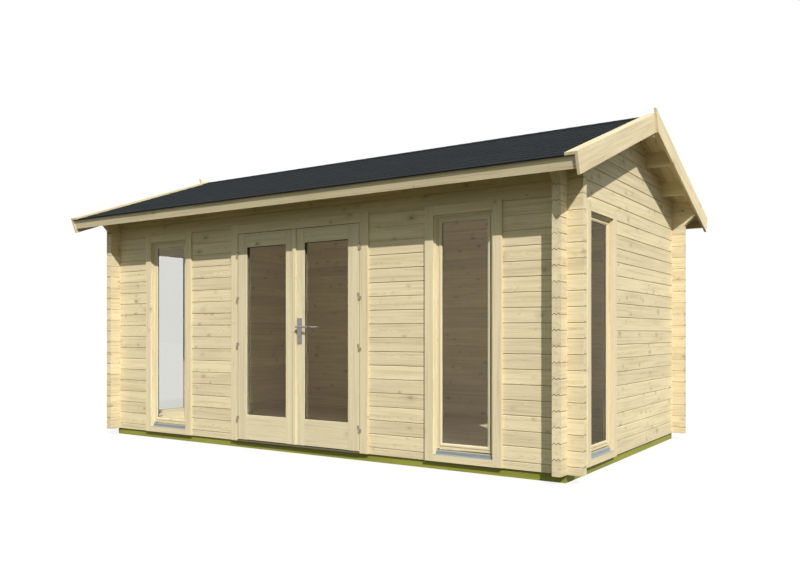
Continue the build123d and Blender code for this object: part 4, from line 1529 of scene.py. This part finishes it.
@dataclass
class Doors:
    """The double doors, their frame and their fittings."""

    clear: float = 1.428
    head: float = 1.940
    casing: float = 0.083
    casing_depth: float = 0.020
    jamb: float = 0.040
    stop: float = 0.015
    stop_foot: float = 0.012
    stop_gap: float = 0.006
    frame_edge: float = 0.001
    hinge_stile: float = 0.118
    left_stile: float = 0.085
    right_stile: float = 0.128
    top_rail: float = 0.127
    bottom_rail: float = 0.233
    leaf_edge: float = 0.0025
    strip_edge: float = 0.003
    pane: float = 0.008
    bite: float = 0.010
    edge: float = 0.0022
    lap: float = 0.004  # of the casing, past the jambs and the head
    seal: float = 0.0026
    seal_edge: float = 0.0004
    seal_foot: float = 0.030
    seal_run: tuple[float, float] = (0.0016, 0.0190)  # its depth behind the leaves' face
    bead: tuple[float, float] = (0.0016, 0.0028)  # how far a pane's rubber stands in, at its lip and foot
    bead_lip: float = 0.0045  # depth of its lip behind the leaf's face
    bead_fall: float = 0.0010

    def __post_init__(self) -> None:
        """Reads where the doorway and the leaves stand."""
        self.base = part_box("back_wall")[0].z
        wall_low, wall_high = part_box("front_wall_over_door")
        leaf_low, leaf_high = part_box("right_door_leaf")
        self.front, self.back = wall_low.y, wall_high.y
        self.leaf_face = leaf_low.y
        self.stop_front = leaf_high.y + self.stop_gap
        self.half, self.head_z = self.clear / 2, self.base + self.head

    def build(self, shop: Workshop) -> None:
        """Makes the woodwork and dresses the glass and the metal.

        Args:
            shop: Makes the finishes.
        """
        trim = shop.jointed("door_casing_spruce", TRIM_WOOD)
        wood = shop.jointed("door_spruce", JOINERY_WOOD)
        glass, rubber = shop.glass(DOOR_GLASS), shop.coated(RUBBER)
        self._casing(trim)
        self._frame(wood)
        self._draught_seal(rubber)
        self._leaf("left", LEFT_DOOR, (self.hinge_stile, self.left_stile), 70, wood, rubber)
        self._leaf("right", RIGHT_DOOR, (self.right_stile, self.hinge_stile), 80, wood, rubber)
        dress("left_door_glass", glass)
        dress("right_door_glass", glass)
        strip = Joinery("meeting_moulding", 90)
        strip.board(*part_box("meeting_strip"), Axis.Z, self.strip_edge)
        strip.settle(wood, RIGHT_DOOR, Slot.JOINERY, "meeting_strip")
        for coat, nodes in (
            (ZINC, ("left_leaf_hinges", "right_leaf_hinges", "frame_hinges")), (SATIN, ("lock_plates",)),
            (STEEL, ("door_lever",)), (MILL, ("door_threshold",)),
        ):
            metal = shop.coated(coat)
            for node in nodes:
                dress(node, metal)

    def _casing(self, trim: Material) -> None:
        """Makes the casing boards on the wall.

        Args:
            trim: Their finish.
        """
        near, outer = self.half - self.lap, self.half + self.casing
        face, head, top = self.front - self.casing_depth, self.head_z, self.head_z + self.casing
        casing = Joinery("door_casing_boards", 60)
        for low, high in ((-outer, -near), (near, outer)):
            casing.board((low, face, self.base), (high, self.front, top), Axis.Z, self.edge)
        casing.board((-near, face, head - self.lap), (near, self.front, top), Axis.X, self.edge)
        casing.settle(trim, CABIN, Slot.TRIM, "door_casing")

    def _frame(self, wood: Material) -> None:
        """Makes the jambs and the head, and the stops on them.

        Args:
            wood: Their finish.
        """
        half, head, top, edge = self.half, self.head_z, self.head_z + self.jamb, self.frame_edge
        inner = half - self.stop
        boards = Joinery("door_frame_joinery", 61)
        for side in (-1, 1):
            low, high = sorted((side * half, side * (half + self.jamb)))
            boards.board((low, self.front, self.base), (high, self.back, top), Axis.Z, edge)
            low, high = sorted((side * inner, side * half))
            foot = self.base + self.stop_foot
            boards.board((low, self.stop_front, foot), (high, self.back, head), Axis.Z, edge)
        boards.board((-half, self.front, head), (half, self.back, top), Axis.X, edge)
        boards.board((-inner, self.stop_front, head - self.stop), (inner, self.back, head), Axis.X, edge)
        boards.settle(wood, CABIN, Slot.JOINERY, "door_frame")

    def _draught_seal(self, rubber: Material) -> None:
        """Makes dark rubber seals on the frame, in the gap round the leaves; their dark colour also stands in
        as painted shade for that deep gap.

        Args:
            rubber: Their finish.
        """
        half, head = self.half - self.lap, self.head_z - self.lap
        low, high = (self.leaf_face + depth for depth in self.seal_run)
        near, foot, edge = half - self.seal, self.base + self.seal_foot, self.seal_edge
        seals = Joinery("door_frame_seals", 62)
        for side in (-1, 1):
            inner, outer = sorted((side * near, side * (half - SLACK)))
            seals.board((inner, low, foot), (outer, high, head - SLACK), Axis.Z, edge)
        seals.board((-near, low, head - self.seal), (near, high, head - SLACK), Axis.X, edge)
        seals.settle(rubber, CABIN, Slot.GLAZING)

    def _section(self, width: float, depth: float) -> Outline:
        """A stile's or rail's section, with its edges eased and its inner edge grooved for the glass.

        Args:
            width: How wide it is.
            depth: How thick the leaf is.

        Returns:
            The section's corners, from the outer edge inwards.
        """
        ease, held = self.leaf_edge, width - self.bite
        near, far = (depth - self.pane) / 2, (depth + self.pane) / 2
        return [
            (0.0, depth - ease), (0.0, ease), (ease, 0.0), (width - ease, 0.0), (width, ease), (width, near),
            (held, near), (held, far), (width, far), (width, depth - ease), (width - ease, depth),
            (ease, depth),
        ]

    def _leaf(
        self, name: str, body: str, stiles: tuple[float, float], seed: int, wood: Material, rubber: Material
    ) -> None:
        """Makes the stiles, rails and seals of one leaf.

        Args:
            name: The leaf's side.
            body: The body that carries it.
            stiles: Widths of its left and right stiles.
            seed: Start of its random draws.
            wood: The wood's finish.
            rubber: The seals' finish.
        """
        low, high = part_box(f"{name}_door_leaf")
        depth = high.y - low.y
        face = Matrix.Translation((0.0, low.y, 0.0))
        leaf = Joinery(f"{name}_door_joinery", seed)
        for side, edge, width in ((-1, low.x, stiles[0]), (1, high.x, stiles[1])):
            leaf.moulding(self._section(width, depth), (low.z, high.z), face @ upright(side, edge))
        start, end = low.x + stiles[0] + SLACK, high.x - stiles[1] - SLACK
        for side, edge, width in ((-1, low.z, self.bottom_rail), (1, high.z, self.top_rail)):
            leaf.moulding(self._section(width, depth), (start, end), face @ level(side, edge))
        leaf.settle(wood, body, Slot.JOINERY, f"{name}_door_leaf")
        seals = Joinery(f"{name}_door_seals", seed + 1)
        middle, (lip_in, foot_in) = (start + end) / 2, self.bead
        place = Matrix.Translation((middle, low.y, 0.0))
        heights = (low.z + self.bottom_rail, high.z - self.top_rail)
        for way, lip in ((-1, self.bead_lip), (1, depth - self.bead_lip)):
            glass = (depth + way * self.pane) / 2 + way * SLACK
            seal = [(SLACK, glass), (SLACK, lip), (lip_in, lip - way * self.bead_fall), (foot_in, glass)]
            seals.surround(seal, end - middle, heights, place)
        seals.settle(rubber, body, Slot.GLAZING)


# ---- The studio -------------------------------------------------------------------------------------


@dataclass
class Studio:
    """The floor, the light and the camera."""

    sun_turn: float = math.radians(48.0)  # to the right of the front
    sun_height: float = math.radians(37.2)
    sun_strength: float = 3.98
    sun_size: float = math.radians(0.6)
    sun_color: Triple = (1.0, 0.975, 0.93)
    sun_away: float = 12.0
    sky: float = 0.54
    sky_color: Triple = (0.93, 1.0, 0.965)
    white: Triple = (1.0, 1.0, 1.0)
    floor_half: float = 60.0
    paper: Triple = (0.92, 0.92, 0.92)
    glow: float = 0.86  # share of the shown floor that is plain white
    turf: Triple = (0.059, 0.061, 0.030)  # what the floor throws back on the cabin
    camera_at: Triple = (4.628, -6.750, 1.078)
    camera_turn: float = math.radians(33.58)
    lens: float = 35.27
    sensor: float = 36.0
    shift_up: float = 0.0645
    camera_reach: float = 200.0

    def build(self) -> None:
        """Sets the scene round the cabin."""
        bpy.context.scene.view_settings.view_transform = "Standard"
        self._world()
        self._sun()
        self._floor()
        self._camera()

    @staticmethod
    def _seen(graph: Graph) -> Socket:
        """1 for rays that show the background, straight, mirrored or through glass."""
        rays = graph.node("ShaderNodeLightPath").outputs
        shown = graph.math("MAXIMUM", rays["Is Camera Ray"], rays["Is Glossy Ray"])
        return graph.math("MAXIMUM", shown, rays["Is Transmission Ray"])

    @staticmethod
    def _stand(name: str, data: bpy.types.ID) -> bpy.types.Object:
        """Puts a lamp, a mesh or a camera into the scene.

        Args:
            name: The object's name.
            data: What it shows.

        Returns:
            The object.
        """
        made = bpy.data.objects.new(name, data)
        bpy.context.scene.collection.objects.link(made)
        return made

    def _world(self) -> None:
        """Makes a white surround that lights the cabin softly."""
        world = bpy.data.worlds.new("surround")
        graph = Graph.cleared(world)
        light = graph.node("ShaderNodeBackground", self.sky_color, self.sky)
        white = graph.node("ShaderNodeBackground", self.white)
        graph.node("ShaderNodeOutputWorld", graph.either(self._seen(graph), light, white).outputs[0])
        bpy.context.scene.world = world

    def _sun(self) -> None:
        """Makes sunlight from the front and the right."""
        lamp = bpy.data.lights.new("sun", "SUN")
        lamp.energy, lamp.angle, lamp.color = self.sun_strength, self.sun_size, self.sun_color
        sun = self._stand("sun", lamp)
        flat = math.cos(self.sun_height)
        towards = Vector((
            math.sin(self.sun_turn) * flat, -math.cos(self.sun_turn) * flat, math.sin(self.sun_height)))
        sun.rotation_euler = towards.to_track_quat("Z", "Y").to_euler()
        sun.location = towards * self.sun_away

    def _floor(self) -> None:
        """Makes a pale floor that keeps a soft shadow."""
        shape = bmesh.new()
        bmesh.ops.create_grid(shape, x_segments=1, y_segments=1, size=self.floor_half)
        mesh = bpy.data.meshes.new("studio_floor")
        shape.to_mesh(mesh)
        shape.free()
        material = bpy.data.materials.new("studio_floor")
        graph = Graph.cleared(material)
        paper = graph.node("ShaderNodeBsdfDiffuse", self.paper)
        shown = graph.either(self.glow, paper, graph.node("ShaderNodeEmission"))
        turf = graph.node("ShaderNodeBsdfDiffuse", self.turf)
        graph.node("ShaderNodeOutputMaterial", graph.either(self._seen(graph), turf, shown).outputs[0])
        mesh.materials.append(material)
        floor = self._stand("studio_floor", mesh)

    def _camera(self) -> None:
        """Makes a level camera to the right of the front."""
        data = bpy.data.cameras.new("camera")
        data.lens, data.sensor_width = self.lens, self.sensor
        data.shift_y, data.clip_end = self.shift_up, self.camera_reach
        camera = self._stand("camera", data)
        camera.location = self.camera_at
        camera.rotation_euler = (math.pi / 2, 0.0, self.camera_turn)
        bpy.context.scene.camera = camera


def main() -> None:
    logging.basicConfig(level=logging.INFO, format="%(message)s")
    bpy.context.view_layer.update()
    shop = Workshop()
    Studio().build()
    walls = Walls()
    walls.dress(shop)
    walls.end_joints(shop)
    walls.eaves_logs(shop)
    base = Base()
    base.dress(shop)
    base.boards(shop)
    roof = Roof()
    roof.boarding(shop)
    roof.shingles(shop)
    roof.trim(shop)
    Windows().build(shop)
    Doors().build(shop)


if __name__ == "__main__":
    main()
